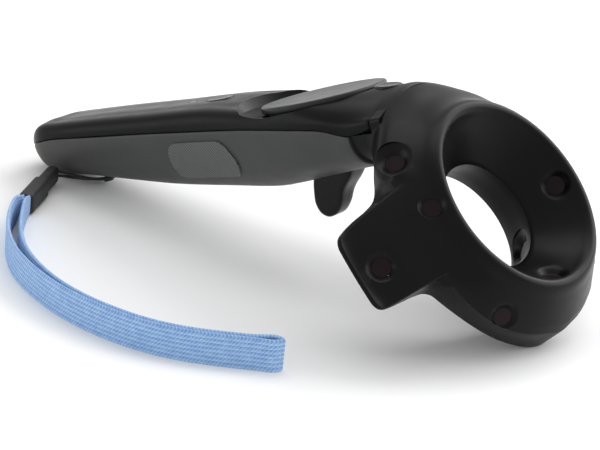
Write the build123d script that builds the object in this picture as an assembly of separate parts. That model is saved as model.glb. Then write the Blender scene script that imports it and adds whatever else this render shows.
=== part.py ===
from build123d import *
import math
import os

os.makedirs("parts", exist_ok=True)

# Motion controller wand in millimetres. It is drawn along its own handle, with the tail's tip at the
# origin, X forward, Y to the left and Z up, and turned at the end to stand as it rests on a table.

# Driving sizes of the handle
handle_length = 157.0
lower_setback = 9.0
lower_length = handle_length - lower_setback
handle_half_width = 23.4
crown_height = 8.7
belly_drop = 27.3
seam_drop = 11.5
wall = 2.0
seam_gap = 0.2
overrun = 6.0
rest_pitch = 23.2
rest_flat = 0.1

# Driving sizes of the ring head, measured from its crest, the front edge of the funnel
head_ahead = 33.8
ring_forward = handle_length + head_ahead
ring_drop = 39.1
ring_tilt = 23.2
crest_radius = 30.8
throat_radius = 17.7
throat_depth = 14.8
bore_rear_radius = 21.4
bore_rear_depth = 28.3
skirt_depth = 23.4
lip_radius = 33.2
lip_depth = 1.5
barrel_radius = 43.0
barrel_depth = 14.0
brow_mid_rise = 47.5
brow_half_angle = 35.0
ear_reach = 60.5
ear_rise = 13.6
neck_half_width = 21.6
brow_rise = 53.0
chin_drop = 42.6

# Round pad and the parts under it
pad_setback = 32.3
pad_centre = handle_length - pad_setback
pad_top = 0.8
pad_radius = 20.6
pad_thickness = 2.2
pad_gap = 0.4
pad_travel = 0.6
pad_board_radius = 18.4
pad_board_thickness = 1.0
pad_edge_chamfer = 0.5
scoop_radius = 30.0
scoop_lift = 22.5
scoop_back = 3.7
deck_radius = 18.6
deck_thickness = 1.2
pad_switch_radius = 3.0
pad_switch_height = 2.1

# Round buttons and the status light
button_radius = 4.4
button_gap = 0.25
button_travel = 0.4
button_proud = 0.3
button_edge = 0.35
menu_setback = 6.1
menu_forward = handle_length - menu_setback
menu_top = -0.15
menu_tilt = 7.0
menu_height = 3.0
system_behind_pad = 42.8
system_forward = pad_centre - system_behind_pad
system_top = 4.35
system_tilt = 2.6
system_height = 2.6
light_behind_button = 11.9
light_forward = system_forward - light_behind_button
light_radius = 1.1
light_top = 4.95
light_height = 2.4
pipe_radius = 0.9
switch_side = 4.6
switch_height = 1.1
switch_gap = 0.2

# Grip buttons, one in each side of the lower cover
grip_place_share = 0.4497
grip_length = 27.6
grip_back = grip_place_share * handle_length
grip_front = grip_back + grip_length
grip_top = 6.6
grip_bottom = 18.7
grip_proud = 0.5
grip_depth = 2.8
grip_gap = 0.35
grip_travel = 0.8
grip_switch_length = 8.0
grip_switch_height = 5.4
grip_inner_reach = 13.4
grip_switch_reach = grip_inner_reach - grip_travel - switch_gap

# Trigger and its pivot
pivot_ahead_of_pad = 5.3
pivot_forward = pad_centre + pivot_ahead_of_pad
pivot_drop = 14.0
trigger_back = 16.3
trigger_drop = 24.8
trigger_half_width = 6.4
trigger_hub_radius = 3.6
trigger_side_gap = 0.6
trigger_edge_fillet = 1.2
pin_radius = 1.25
pin_clearance = 0.05
cheek_thickness = 1.6
cheek_half_length = 4.0
slot_behind_pivot = 22.4
slot_ahead_of_pivot = 7.6
slot_back = pivot_forward - slot_behind_pivot
slot_front = pivot_forward + slot_ahead_of_pivot
spring_wire = 0.5
spring_turns = 3
spring_pitch = 1.0
spring_radius = 2.0
bridge_thickness = 0.6

# Skeleton plate, battery and boards
frame_back = 0.2166 * handle_length
frame_setback = 7.0
frame_front = handle_length - frame_setback
frame_half_width = 8.4
frame_top_drop = 8.2
frame_thickness = 1.4
post_radius = 2.3
post_back = 0.2611 * handle_length
post_front = 0.5541 * handle_length
post_side = 5.2
deck_post_offset = 11.0
board_back = 0.1529 * handle_length
board_front = 0.6019 * handle_length
board_half_width = 9.4
board_top = 0.0
board_thickness = 1.0
battery_back = 0.293 * handle_length
battery_front = 0.535 * handle_length
battery_half_width = 8.2
battery_height = 6.2
battery_edge = 1.4
motor_back = 0.3312 * handle_length
motor_front = 0.4331 * handle_length
motor_half_width = 6.5
motor_height = 7.0
motor_edge = 1.0
screw_radius = 0.9
screw_head_radius = 1.8
screw_head_height = 1.0
screw_length = 6.0
menu_board_thickness = 1.0
menu_board_behind = 4.3
menu_board_ahead = 4.9
menu_board_back = menu_forward - menu_board_behind
menu_board_front = menu_forward + menu_board_ahead
menu_board_half_width = 5.6

# Charging socket at the tail
socket_half_width = 3.7
socket_height = 2.7
socket_length = 6.4
socket_wall = 0.4
socket_gap = 0.15
socket_recess = 0.6
tongue_thickness = 0.6
socket_centre = -0.9
tongue_side_gap = 0.8

# Neck collar between the lower cover and the head
collar_inset = 1.1
collar_wall = 1.8
collar_ahead = 9.0
collar_reach = handle_length + collar_ahead
collar_gap = 0.2

# Infrared windows and the chips behind them
window_radius = 3.0
window_gap = 0.1
window_thickness = 0.9
dimple_radius = 4.7
dimple_depth = 1.3
mouth_height = 1.0
pocket_depth = 3.6
chip_side = 3.6
chip_height = 1.0
chip_gap = 0.2
ring_board_inner = 20.6
ring_board_outer = 31.2
ring_board_depth = 16.6
ring_board_thickness = 1.0

# Strap anchor, thin cord, sleeve and strap. Their points stand on the table with the tail's tip above zero.
anchor_forward = 24.5
anchor_radius = 0.9
anchor_flange_radius = 1.6
anchor_flange_thickness = 0.5
anchor_drop = 17.1
cord_diameter = 1.0
strap_width = 10.0
strap_thickness = 1.3
strap_clearance = 0.1
sleeve_lift = 0.2
sleeve_height = 7.0
sleeve_thickness = 5.2
sleeve_cap_height = 5.8
sleeve_cap_thickness = 4.2
sleeve_cap_share = 0.45
sleeve_edge = 1.2
sleeve_start = (17.2, -15.2)
sleeve_end = (30.3, -43.8)

# Stations of the handle: forward, half width, crown, belly and seam, each a share of the size above
# it, and last how high the crown still is at its shoulder and half way out to it
handle_station_shares = [
    (0.003, 0.15, 0.12, 0.12, 0.04, 0.70, 0.965),
    (0.013, 0.32, 0.36, 0.23, 0.00, 0.70, 0.965),
    (0.032, 0.48, 0.62, 0.33, -0.07, 0.71, 0.965),
    (0.064, 0.61, 0.85, 0.441, -0.12, 0.72, 0.965),
    (0.115, 0.67, 0.815, 0.476, -0.15, 0.72, 0.965),
    (0.223, 0.70, 0.75, 0.60, -0.05, 0.72, 0.965),
    (0.382, 0.73, 0.61, 0.777, 0.10, 0.72, 0.965),
    (0.541, 0.78, 0.48, 0.897, 0.27, 0.74, 0.965),
    (0.656, 0.87, 0.20, 0.97, 0.38, 0.78, 0.95),
    (0.732, 0.955, 0.10, 0.96, 0.47, 0.80, 0.95),
    (0.803, 1.00, 0.138, 0.925, 0.575, 0.85, 0.965),
    (0.879, 0.985, 0.10, 0.895, 0.73, 0.60, 0.90),
    (0.9427, 0.955, 0.03, 0.88, 1.00, 0.52, 0.81),
    (1.00, 0.955, -0.10, 0.87, 0.90, 0.40, 0.74),
]
lower_station_count = 13
inner_first_station = 2

# Half of the head's rear outline from the top down the right side, in shares of reach and rise.
# Each run is one curve, and the crest is split at the angles beside it.
outline_run_shares = [
    ("brow", [(0.0, 1.0), (-0.42, 0.97), (-0.78, 0.885), (-0.98, 0.75)]),
    ("flank", [(-0.98, 0.75), (-1.02, 0.67), (-1.10, 0.595), (-1.32, 0.485), (-1.48, 0.404)]),
]
shoulder_shares = [(-0.529, 1.57), (-0.575, 1.41), (-0.653, 1.29), (-0.805, 1.15), (-0.926, 1.00)]
ear_top_shares = [(-0.926, 1.00), (-0.979, 0.875), (-1.0, 0.647)]
ear_side_shares = [(-1.0, 0.647), (-1.0, -0.632)]
ear_foot_shares = [(-1.0, -0.632), (-0.982, -0.83), (-0.936, -0.912)]
ear_under_shares = [(-0.936, -0.912), (-0.793, -0.919), (-0.678, -0.919), (-0.608, -0.956), (-0.562, -1.07)]
chin_shares = [(-0.798, -0.343), (-0.758, -0.404), (-0.681, -0.521), (-0.577, -0.66), (-0.451, -0.793),
               (-0.305, -0.899), (-0.153, -0.972), (0.0, -1.0)]
crest_split_degrees = [0, 28, 56, 76, 83, 97, 103, 115, 180]

# Windows: degrees from the top round to the right, and the share of the way back over their face
lip_window_places = [(51, 0.76), (79, 0.22), (141, 0.75)]
barrel_window_places = [(91.2, 0.44)]
funnel_window_places = [(93, 0.36)]
bore_window_places = [(131, 0.52)]
rear_window_places = [(91, 0.41), (91, 0.78), (122, 0.42), (64, 0.45), (158, 0.45)]
probe_degrees = 1.0
probe_share = 0.05

# Screws of the head, in shares of the ears' reach and rise, and the bosses they enter
head_screw_place_shares = [(-0.582, 0.55), (0.582, 0.55), (-0.36, -1.85), (0.36, -1.85)]
boss_radius = 2.6


def shape_on(plane, solid):
    """Move a solid drawn at the origin onto a plane."""
    return plane.location * solid


# Handle covers

def handle_station(index):
    share = handle_station_shares[index]
    return {
        "forward": share[0] * handle_length,
        "width": share[1] * handle_half_width,
        "crown": share[2] * crown_height,
        "belly": -share[3] * belly_drop,
        "seam": -share[4] * seam_drop,
        "shoulder": share[5],
        "midway": share[6],
    }


def closed_section(right, level):
    """Wire of a section from the points of its right half, closed straight across at a level."""
    left = [(x, -y, z) for x, y, z in reversed(right)]
    upward = math.copysign(1, right[-1][2] - right[0][2])
    right_curve = Spline(*right, tangents=((0, 0, upward), (0, 1, 0)), tangent_scalars=(1.0, 1.0))
    left_curve = Spline(*left, tangents=((0, 1, 0), (0, 0, -upward)), tangent_scalars=(1.0, 1.0))
    corners = [left[-1], (left[-1][0], left[-1][1], level), (right[0][0], right[0][1], level), right[0]]
    edges = [right_curve, left_curve] + [Line(a, b) for a, b in zip(corners, corners[1:]) if math.dist(a, b) > 0]
    return Wire([e.edge() for e in edges])


def upper_section(station, inset, lip):
    """Upper half of the handle at a station, with its foot a lip below the seam."""
    width = station["width"] - inset
    foot = station["seam"]
    rise = station["crown"] - inset - foot
    side = [(1.0, 0.0), (0.985, 0.30), (0.90, station["shoulder"]), (0.52, station["midway"])]
    right = [(station["forward"], -width * a, foot + rise * b) for a, b in side + [(0.0, 1.0)]]
    return closed_section(right, foot - lip)


def lower_section(station, inset, lip):
    """Lower half of the handle at a station, with its brim a lip above the seam."""
    width = station["width"] - inset
    brim = station["seam"] - seam_gap
    drop = brim - station["belly"] - inset
    side = [(1.0, 0.0), (0.97, 0.30), (0.82, 0.66), (0.48, 0.93)]
    right = [(station["forward"], -width * a, brim - drop * b) for a, b in side + [(0.0, 1.0)]]
    return closed_section(right, brim + lip)


def handle_body(section, first, last, inset=0.0, lip=0.0, reach=0.0):
    """Loft a handle body through its stations, the last one moved forward by a reach."""
    stations = [handle_station(i) for i in range(first, last)]
    stations[-1]["forward"] += reach
    wires = [section(station, inset, lip) for station in stations]
    return Solid.make_loft(wires, ruled=True)


station_count = len(handle_station_shares)
upper_body = handle_body(upper_section, 0, station_count)
upper_room = handle_body(upper_section, inner_first_station, station_count, wall, overrun, overrun)
lower_body = handle_body(lower_section, 0, lower_station_count)
lower_room = handle_body(lower_section, inner_first_station, lower_station_count, wall, overrun, overrun)


def lower_front_prism(inset, start, reach):
    """Prism of the lower half's last section, from a start forward."""
    station = dict(handle_station(lower_station_count - 1), forward=start)
    return extrude(Face(lower_section(station, inset, 0.0)), reach, dir=(1, 0, 0))


def upright(radius, height, x, y, z):
    """Upright cylinder standing on z."""
    return Pos(x, y, z + height / 2) * Cylinder(radius, height)


def block(x0, x1, y0, y1, z0, z1):
    """Box from its corners."""
    return Pos((x0 + x1) / 2, (y0 + y1) / 2, (z0 + z1) / 2) * Box(x1 - x0, y1 - y0, z1 - z0)


def tilted_plane(forward, height, tilt):
    """Plane on the handle's top, its normal leaning forward by tilt."""
    lean = math.radians(tilt)
    return Plane(origin=(forward, 0, height), x_dir=(math.cos(lean), 0, -math.sin(lean)),
                 z_dir=(math.sin(lean), 0, math.cos(lean)))


menu_plane = tilted_plane(menu_forward, menu_top + button_proud, menu_tilt)
system_plane = tilted_plane(system_forward, system_top + button_proud, system_tilt)
scoop_at = Pos(pad_centre - scoop_back, 0, scoop_lift)
scoop = scoop_at * Sphere(scoop_radius)
scoop_backing = scoop_at * Sphere(scoop_radius + wall)
pad_pocket_height = pad_radius
pad_pocket = upright(pad_radius + pad_gap, pad_pocket_height, pad_centre, 0, pad_top - pad_pocket_height / 2)


def button_hole(plane, depth):
    return shape_on(plane, Pos(0, 0, -depth / 2) * Cylinder(button_radius + button_gap, depth + overrun))


socket_bottom = socket_centre - socket_height / 2
socket_cut = block(-overrun, socket_recess + socket_length + socket_gap,
                   -socket_half_width - socket_gap, socket_half_width + socket_gap,
                   socket_bottom - socket_gap, socket_bottom + socket_height + socket_gap)


def make_top_shell():
    room = upper_room - scoop_backing
    shell = upper_body - room - scoop - pad_pocket
    shell -= button_hole(menu_plane, menu_height)
    shell -= button_hole(system_plane, system_height)
    shell -= upright(light_radius + button_gap, overrun, light_forward, 0, light_top - light_height)
    return shell - socket_cut


# Grip buttons

def grip_outline(grow):
    """Outline of a grip button on the side, in the XZ plane, grown all round."""
    length = grip_front - grip_back
    height = grip_bottom - grip_top
    shares = [(0.17, 0.05), (0.70, 0.0), (0.86, 0.22), (1.0, 0.78), (0.94, 1.0), (0.30, 0.91),
              (0.06, 0.62), (0.0, 0.27)]
    corners = [(grip_back + a * length, -grip_top - b * height) for a, b in shares]
    middle_x = grip_back + length / 2
    middle_z = -(grip_top + grip_bottom) / 2
    rim = [(x + math.copysign(grow, x - middle_x), 0, z + math.copysign(grow, z - middle_z))
           for x, z in corners]
    return Face(Wire([Spline(*rim, periodic=True).edge()]))


def side_prism(face, side, reach):
    return extrude(face, reach, dir=(0, side, 0))


def make_grip_button(side):
    proud_body = handle_body(lower_section, 0, lower_station_count, -grip_proud)
    deep_room = handle_body(lower_section, inner_first_station, lower_station_count, grip_depth)
    prism = side_prism(grip_outline(0.0), side, handle_half_width + overrun)
    button = (proud_body - deep_room) & prism
    return max(button.solids(), key=lambda s: s.volume)


def make_bottom_shell():
    shell = lower_body - lower_room
    for side in (-1, 1):
        shell -= side_prism(grip_outline(grip_gap), side, handle_half_width + overrun)
    slot_half = trigger_half_width + trigger_side_gap
    shell -= block(slot_back, slot_front, -slot_half, slot_half, -belly_drop - overrun, -pivot_drop)
    return shell - socket_cut


# Ring head

lean = math.radians(ring_tilt)
ring_axis = (math.cos(lean), 0, math.sin(lean))


def ring_plane(depth):
    """Plane across the ring, a depth behind the crest: X to the left, Y up, Z along the axis."""
    origin = (ring_forward - depth * ring_axis[0], 0, -ring_drop - depth * ring_axis[2])
    return Plane(origin=origin, x_dir=(0, 1, 0), z_dir=ring_axis)


def right_runs():
    """Runs of the rear outline down the right side, in ring coordinates."""
    runs = [[(a * neck_half_width, b * brow_rise) for a, b in points] for _, points in outline_run_shares]
    for shares in (shoulder_shares, ear_top_shares, ear_side_shares, ear_foot_shares, ear_under_shares):
        runs.append([(a * ear_reach, b * ear_rise) for a, b in shares])
    runs.append([(a * chin_drop, b * chin_drop) for a, b in chin_shares])
    for before, after in zip(runs, runs[1:]):
        after[0] = before[-1]
    return runs


def full_runs():
    """All runs of the outline, down the right side and up the left."""
    right = right_runs()
    left = [[(-x, y) for x, y in reversed(run)] for run in reversed(right)]
    return right + left


def inset_runs(runs, inset):
    """Runs drawn in towards the inside, by the normal at each point."""
    flat = [p for run in runs for p in run[:-1]]
    count = len(flat)
    moved = []
    for i, point in enumerate(flat):
        before, after = flat[i - 1], flat[(i + 1) % count]
        run_x, run_y = after[0] - before[0], after[1] - before[1]
        size = math.hypot(run_x, run_y)
        moved.append((point[0] - inset * run_y / size, point[1] + inset * run_x / size))
    drawn, place = [], 0
    for run in runs:
        steps = len(run) - 1
        drawn.append([moved[(place + k) % count] for k in range(steps + 1)])
        place += steps
    return drawn


def outline_wire(runs, depth):
    """Closed wire through the runs, smooth where they join, across the ring at a depth."""
    plane = ring_plane(depth)
    flat = [p for run in runs for p in run[:-1]]
    count = len(flat)

    def heading(i):
        before, after = flat[i - 1], flat[(i + 1) % count]
        return (plane.from_local_coords(Vector(after[0] - before[0], after[1] - before[1], 0))
                - plane.origin).normalized()

    edges, place = [], 0
    for run in runs:
        points = [plane.from_local_coords(Vector(x, y, 0)) for x, y in run]
        ends = (heading(place % count), heading((place + len(run) - 1) % count))
        curve = Spline(*points, tangents=ends, tangent_scalars=(1.0, 1.0)) if len(run) > 2 else Line(*points)
        edges.append(curve.edge())
        place += len(run) - 1
    return Wire(edges)


def around(radius, degrees):
    """Point on a circle, degrees from the top round to the right."""
    turn = math.radians(degrees)
    return (-radius * math.sin(turn), radius * math.cos(turn))


def circle_wire(radius, depth):
    """Circle across the ring, split at the same angles as the outline."""
    plane = ring_plane(depth)
    stops = crest_split_degrees + [360 - d for d in reversed(crest_split_degrees[:-1])]
    edges = []
    for start, end in zip(stops, stops[1:]):
        three = [around(radius, d) for d in (start, (start + end) / 2, end)]
        edges.append(ThreePointArc(*[plane.from_local_coords(Vector(x, y, 0)) for x, y in three]).edge())
    return Wire(edges)


crest_room_depth = 1.9 * wall
throat_wall_radius = throat_radius + 1.1 * wall
throat_room_depth = throat_depth + wall / 4
rear_room_depth = bore_rear_depth - 1.4 * wall
bore_room_radius = bore_rear_radius + 0.75 * wall
outline_inset = 1.3 * wall


def barrel_point(point):
    """Point of the barrel section at the same angle as a point of the rear outline."""
    out = math.hypot(*point)
    angle = math.degrees(math.atan2(abs(point[0]), point[1]))
    share = barrel_depth / skirt_depth
    if angle < brow_half_angle:
        share = (brow_mid_rise - crest_radius) / (brow_rise - crest_radius)
    middle = max(barrel_radius, crest_radius + (out - crest_radius) * share)
    return (point[0] * middle / out, point[1] * middle / out)


runs = full_runs()
barrel_runs = [[barrel_point(point) for point in run] for run in runs]
inner_runs = inset_runs(runs, outline_inset)
inner_barrel_runs = inset_runs(barrel_runs, outline_inset)
skirt_wire = outline_wire(runs, skirt_depth)
skirt_room_wire = outline_wire(inner_runs, skirt_depth)
barrel_wire = outline_wire(barrel_runs, barrel_depth)
barrel_room_wire = outline_wire(inner_barrel_runs, barrel_depth)
front_body = Solid.make_loft([skirt_wire, barrel_wire, circle_wire(lip_radius, lip_depth),
                              circle_wire(crest_radius, 0)], ruled=True)
front_room = Solid.make_loft([skirt_room_wire, barrel_room_wire, circle_wire(crest_radius, crest_room_depth)],
                             ruled=True)
rear_body = Solid.make_loft([circle_wire(bore_rear_radius, bore_rear_depth), skirt_wire], ruled=True)
rear_room = Solid.make_loft([circle_wire(bore_room_radius, rear_room_depth), skirt_room_wire], ruled=True)


def turned(profile):
    """Turn a closed profile of (radius, depth) points round the ring's axis."""
    plane = Plane(origin=(ring_forward, 0, -ring_drop), x_dir=(0, 1, 0), z_dir=(-ring_axis[2], 0, ring_axis[0]))
    points = [plane.from_local_coords(Vector(r, d, 0)) for r, d in profile]
    face = Face(Polyline(*points, close=True).wire())
    return revolve(face, Axis(plane.origin, ring_axis), 360)


bore_space = turned([(0, -overrun), (crest_radius, -overrun), (crest_radius, 0), (throat_radius, throat_depth),
                     (bore_rear_radius, bore_rear_depth), (bore_rear_radius, bore_rear_depth + overrun),
                     (0, bore_rear_depth + overrun)])
bore_wall_space = turned([(0, crest_room_depth), (crest_radius, crest_room_depth),
                          (throat_wall_radius, throat_room_depth), (bore_room_radius, rear_room_depth),
                          (bore_room_radius, bore_rear_depth + overrun), (0, bore_rear_depth + overrun)])


def outline_point(degrees):
    """Point of the rear outline that a ruling from the crest at this angle meets."""
    for k, run in enumerate(right_runs()):
        low, high = crest_split_degrees[k], crest_split_degrees[k + 1]
        if low <= degrees <= high:
            share = (degrees - low) / (high - low)
            lengths = [math.dist(a, b) for a, b in zip(run, run[1:])]
            left = share * sum(lengths)
            for (x0, y0), (x1, y1), length in zip(run, run[1:], lengths):
                if left <= length:
                    step = left / length
                    return (x0 + step * (x1 - x0), y0 + step * (y1 - y0))
                left -= length
    return right_runs()[-1][-1]


def at_depth(point, depth):
    return ring_plane(depth).from_local_coords(Vector(point[0], point[1], 0))


def face_plane(corner_a, corner_b, degrees, share, side, outward):
    """Plane on a ruled face of the head. Outward gives the way out of the body at a point."""
    def place(angle, along):
        start, finish = corner_a(angle), corner_b(angle)
        point = start + (finish - start) * along
        return Vector(point.X, point.Y * side, point.Z)

    at = place(degrees, share)
    along = place(degrees, share + probe_share) - at
    across = place(min(degrees + probe_degrees, 180), share) - place(max(degrees - probe_degrees, 0), share)
    normal = along.cross(across).normalized()
    return Plane(origin=at, z_dir=normal if normal.dot(outward(at)) > 0 else -normal)


def crest_at(angle):
    return at_depth(around(crest_radius, angle), 0)


def skirt_at(angle):
    return at_depth(outline_point(angle), skirt_depth)


def barrel_at(angle):
    return at_depth(barrel_point(outline_point(angle)), barrel_depth)


def lip_at(angle):
    return at_depth(around(lip_radius, angle), lip_depth)


def throat_at(angle):
    return at_depth(around(throat_radius, angle), throat_depth)


def bore_rear_at(angle):
    return at_depth(around(bore_rear_radius, angle), bore_rear_depth)


def away_from_axis(point):
    centre = ring_plane(skirt_depth).origin
    along = Vector(*ring_axis)
    arm = point - centre
    return arm - along * arm.dot(along)


def to_axis(point):
    return -away_from_axis(point)


def backward(point):
    return -Vector(*ring_axis)


def mirrored_planes(corner_a, corner_b, places, outward):
    return [face_plane(corner_a, corner_b, angle, share, side, outward)
            for angle, share in places for side in (1, -1)]


window_planes = {
    "outer": mirrored_planes(lip_at, barrel_at, lip_window_places, away_from_axis)
    + mirrored_planes(barrel_at, skirt_at, barrel_window_places, away_from_axis),
    "funnel": mirrored_planes(crest_at, throat_at, funnel_window_places, to_axis)
    + [face_plane(crest_at, throat_at, 180, funnel_window_places[0][1], 1, to_axis)],
    "bore": mirrored_planes(throat_at, bore_rear_at, bore_window_places, to_axis),
    "rear": mirrored_planes(skirt_at, bore_rear_at, rear_window_places, backward)
    + [face_plane(skirt_at, bore_rear_at, 180, rear_window_places[-1][1], 1, backward)],
}


def window_cutter(plane):
    """Conical dimple and the pocket behind it."""
    foot = window_radius + window_gap
    flare = (dimple_radius - foot) / dimple_depth
    cone = Pos(0, 0, (mouth_height - dimple_depth) / 2) * Cone(
        foot, dimple_radius + flare * mouth_height, dimple_depth + mouth_height)
    pocket = Pos(0, 0, -pocket_depth / 2) * Cylinder(foot, pocket_depth)
    return shape_on(plane, cone + pocket)


def window_disc(plane):
    return shape_on(plane, Pos(0, 0, -dimple_depth - window_thickness / 2)
                    * Cylinder(window_radius, window_thickness))


def sensor_chip(plane):
    top = -dimple_depth - window_thickness - chip_gap
    return shape_on(plane, Pos(0, 0, top - chip_height / 2) * Box(chip_side, chip_side, chip_height))


def along_ring(place, radius, start, end):
    """Cylinder along the ring's axis, from a depth behind the skirt plane to one ahead of it."""
    centre = Pos(place[0] * ear_reach, place[1] * ear_rise, (start + end) / 2)
    return ring_plane(skirt_depth).location * centre * Cylinder(radius, end - start)


def rear_surface_behind(place):
    """How far the rear face lies behind the skirt plane at a screw."""
    across, up = place[0] * ear_reach, place[1] * ear_rise
    out = math.hypot(across, up)
    angle = math.degrees(math.atan2(abs(across), up))
    rim = math.hypot(*outline_point(angle))
    share = (rim - out) / (rim - bore_rear_radius)
    return share * (bore_rear_depth - skirt_depth)


cover_space = block(lower_length - wall, handle_length + collar_gap, -handle_half_width - overrun,
                    handle_half_width + overrun, -seam_drop - collar_gap, overrun)


def make_head_front_shell():
    shell = front_body - (front_room - bore_wall_space) - bore_space
    for place in head_screw_place_shares:
        boss = along_ring(place, boss_radius, 0, skirt_depth) & front_body
        boss -= bore_space
        shell += boss.solid() if boss.solid() else boss
    for place in head_screw_place_shares:
        shell -= along_ring(place, screw_radius, 0, screw_length)
    for group in ("outer", "funnel", "bore"):
        for plane in window_planes[group]:
            shell -= window_cutter(plane)
    shell -= cover_space
    return max(shell.solids(), key=lambda s: s.volume)


def make_head_rear_shell():
    shell = rear_body - (rear_room - bore_wall_space) - bore_space
    for place in head_screw_place_shares:
        behind = rear_surface_behind(place)
        seat = -behind + screw_head_height
        shell += along_ring(place, boss_radius, -behind, 0) & rear_body
        shell -= along_ring(place, screw_radius, -bore_rear_depth, overrun)
        shell -= along_ring(place, screw_head_radius + window_gap, -bore_rear_depth, seat)
    for group in ("rear", "bore"):
        for plane in window_planes[group]:
            shell -= window_cutter(plane)
    shell -= cover_space
    return max(shell.solids(), key=lambda s: s.volume)


def head_screw(place):
    seat = -rear_surface_behind(place) + screw_head_height
    head = along_ring(place, screw_head_radius, seat - screw_head_height, seat)
    return head + along_ring(place, screw_radius - pin_clearance, seat, screw_length - window_gap)


def make_ring_board():
    disc = Cylinder(ring_board_outer, ring_board_thickness) - Cylinder(ring_board_inner, ring_board_thickness)
    board = ring_plane(ring_board_depth).location * disc
    for place in head_screw_place_shares:
        board -= along_ring(place, boss_radius + chip_gap, 0, skirt_depth)
    for planes in window_planes.values():
        for plane in planes:
            board -= window_cutter(plane)
    return board.solid()


# Collar between the lower cover and the head

def make_neck_collar():
    start = lower_length + collar_gap
    reach = collar_reach - start
    collar = lower_front_prism(collar_inset, start, reach)
    collar -= lower_front_prism(collar_inset + collar_wall, start - overrun, reach + 2 * overrun)
    collar = collar - front_body - rear_body - bore_space
    return max(collar.solids(), key=lambda s: s.volume)


# Pad, its board, deck and switch

def make_trackpad_disc():
    disc = upright(pad_radius, pad_thickness, pad_centre, 0, pad_top - pad_thickness)
    rims = disc.edges().group_by(Axis.Z)
    return chamfer(rims[-1], pad_edge_chamfer)


pad_board_top = pad_top - pad_thickness
pad_board_bottom = pad_board_top - pad_board_thickness
pad_switch_top = pad_board_bottom - pad_travel - seam_gap / 2
deck_top = pad_switch_top - pad_switch_height
frame_top = -frame_top_drop
frame_bottom = frame_top - frame_thickness


def make_round_button(plane, height):
    button = shape_on(plane, Pos(0, 0, -height / 2) * Cylinder(button_radius, height))
    rim = button.edges().sort_by_distance(plane.origin + plane.z_dir * overrun)[0]
    return fillet(rim, button_edge)


def plane_at_depth(plane, depth):
    return Plane(origin=plane.origin - plane.z_dir * depth, x_dir=plane.x_dir, z_dir=plane.z_dir)


def switch_room(tilt):
    """Room above a level switch for the travel of a button's tilted foot."""
    return button_travel + switch_side / 2 * math.tan(math.radians(tilt)) + switch_gap


def make_switch_under(plane, height, tilt, board_level):
    """Square switch from its board up to just below a button's foot."""
    foot = plane_at_depth(plane, height)
    top = foot.origin.Z - switch_room(tilt)
    return block(foot.origin.X - switch_side / 2, foot.origin.X + switch_side / 2,
                 -switch_side / 2, switch_side / 2, board_level, top)


menu_foot = plane_at_depth(menu_plane, menu_height)
menu_board_top = menu_foot.origin.Z - switch_room(menu_tilt) - switch_height
menu_board_bottom = menu_board_top - menu_board_thickness


def make_inner_frame():
    plate = block(frame_back, frame_front, -frame_half_width, frame_half_width, frame_bottom, frame_top)
    board_bottom = board_top - board_thickness
    for x in (post_back, post_front):
        for y in (-post_side, post_side):
            foot = upright(post_radius, belly_drop, x, y, frame_bottom - belly_drop)
            plate += foot & lower_room
            plate += upright(post_radius, board_bottom - frame_top, x, y, frame_top)
            plate -= upright(screw_radius, screw_length, x, y, board_bottom - screw_length)
    for x in (pad_centre - deck_post_offset, pad_centre + deck_post_offset):
        for y in (-post_side, post_side):
            plate += upright(post_radius, deck_top - deck_thickness - frame_top, x, y, frame_top)
    menu_post = frame_front - post_radius
    plate += upright(post_radius, menu_board_bottom - frame_top, menu_post, 0, frame_top)
    return plate.solid()


def make_main_board():
    board = block(board_back, board_front, -board_half_width, board_half_width, board_top - board_thickness,
                  board_top)
    for x in (post_back, post_front):
        for y in (-post_side, post_side):
            board -= upright(screw_radius, overrun, x, y, board_top - overrun / 2)
    return board.solid()


def board_screw(x, y):
    head = upright(screw_head_radius, screw_head_height, x, y, board_top)
    length = screw_length - board_thickness
    return head + upright(screw_radius - pin_clearance, length, x, y, board_top - length)


def make_battery():
    cell = block(battery_back, battery_front, -battery_half_width, battery_half_width, frame_top,
                 frame_top + battery_height)
    return fillet(cell.edges().filter_by(Axis.X), battery_edge)


def make_haptic_motor():
    motor = block(motor_back, motor_front, -motor_half_width, motor_half_width,
                  frame_bottom - motor_height, frame_bottom)
    return fillet(motor.edges().filter_by(Axis.X).group_by(Axis.Z)[0], motor_edge)


def make_grip_switch(side):
    middle = (grip_back + grip_front) / 2
    return block(middle - grip_switch_length / 2, middle + grip_switch_length / 2,
                 min(side * frame_half_width, side * grip_switch_reach),
                 max(side * frame_half_width, side * grip_switch_reach),
                 frame_top - grip_switch_height, frame_top)


# Trigger

def trigger_point(share):
    return (pivot_forward + share[0] * trigger_back, 0, -pivot_drop + share[1] * trigger_drop)


trigger_rim_shares = [(0.235, 0.02), (0.25, -0.26), (0.05, -0.50), (-0.25, -0.70), (-0.41, -0.88),
                      (-0.57, -0.975), (-0.79, -1.0), (-0.935, -0.935), (-1.0, -0.81), (-0.965, -0.66),
                      (-0.90, -0.52), (-0.76, -0.33), (-0.46, -0.10), (-0.16, 0.09), (0.09, 0.10)]
bore_radius = pin_radius + pin_clearance
cheek_inner = trigger_half_width + trigger_side_gap
cheek_outer = cheek_inner + cheek_thickness
spring_room = spring_turns * spring_pitch + 2 * spring_wire


def across_y(radius, half_length, x, z):
    """Cylinder along Y."""
    return Pos(x, 0, z) * Rot(90, 0, 0) * Cylinder(radius, 2 * half_length)


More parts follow.
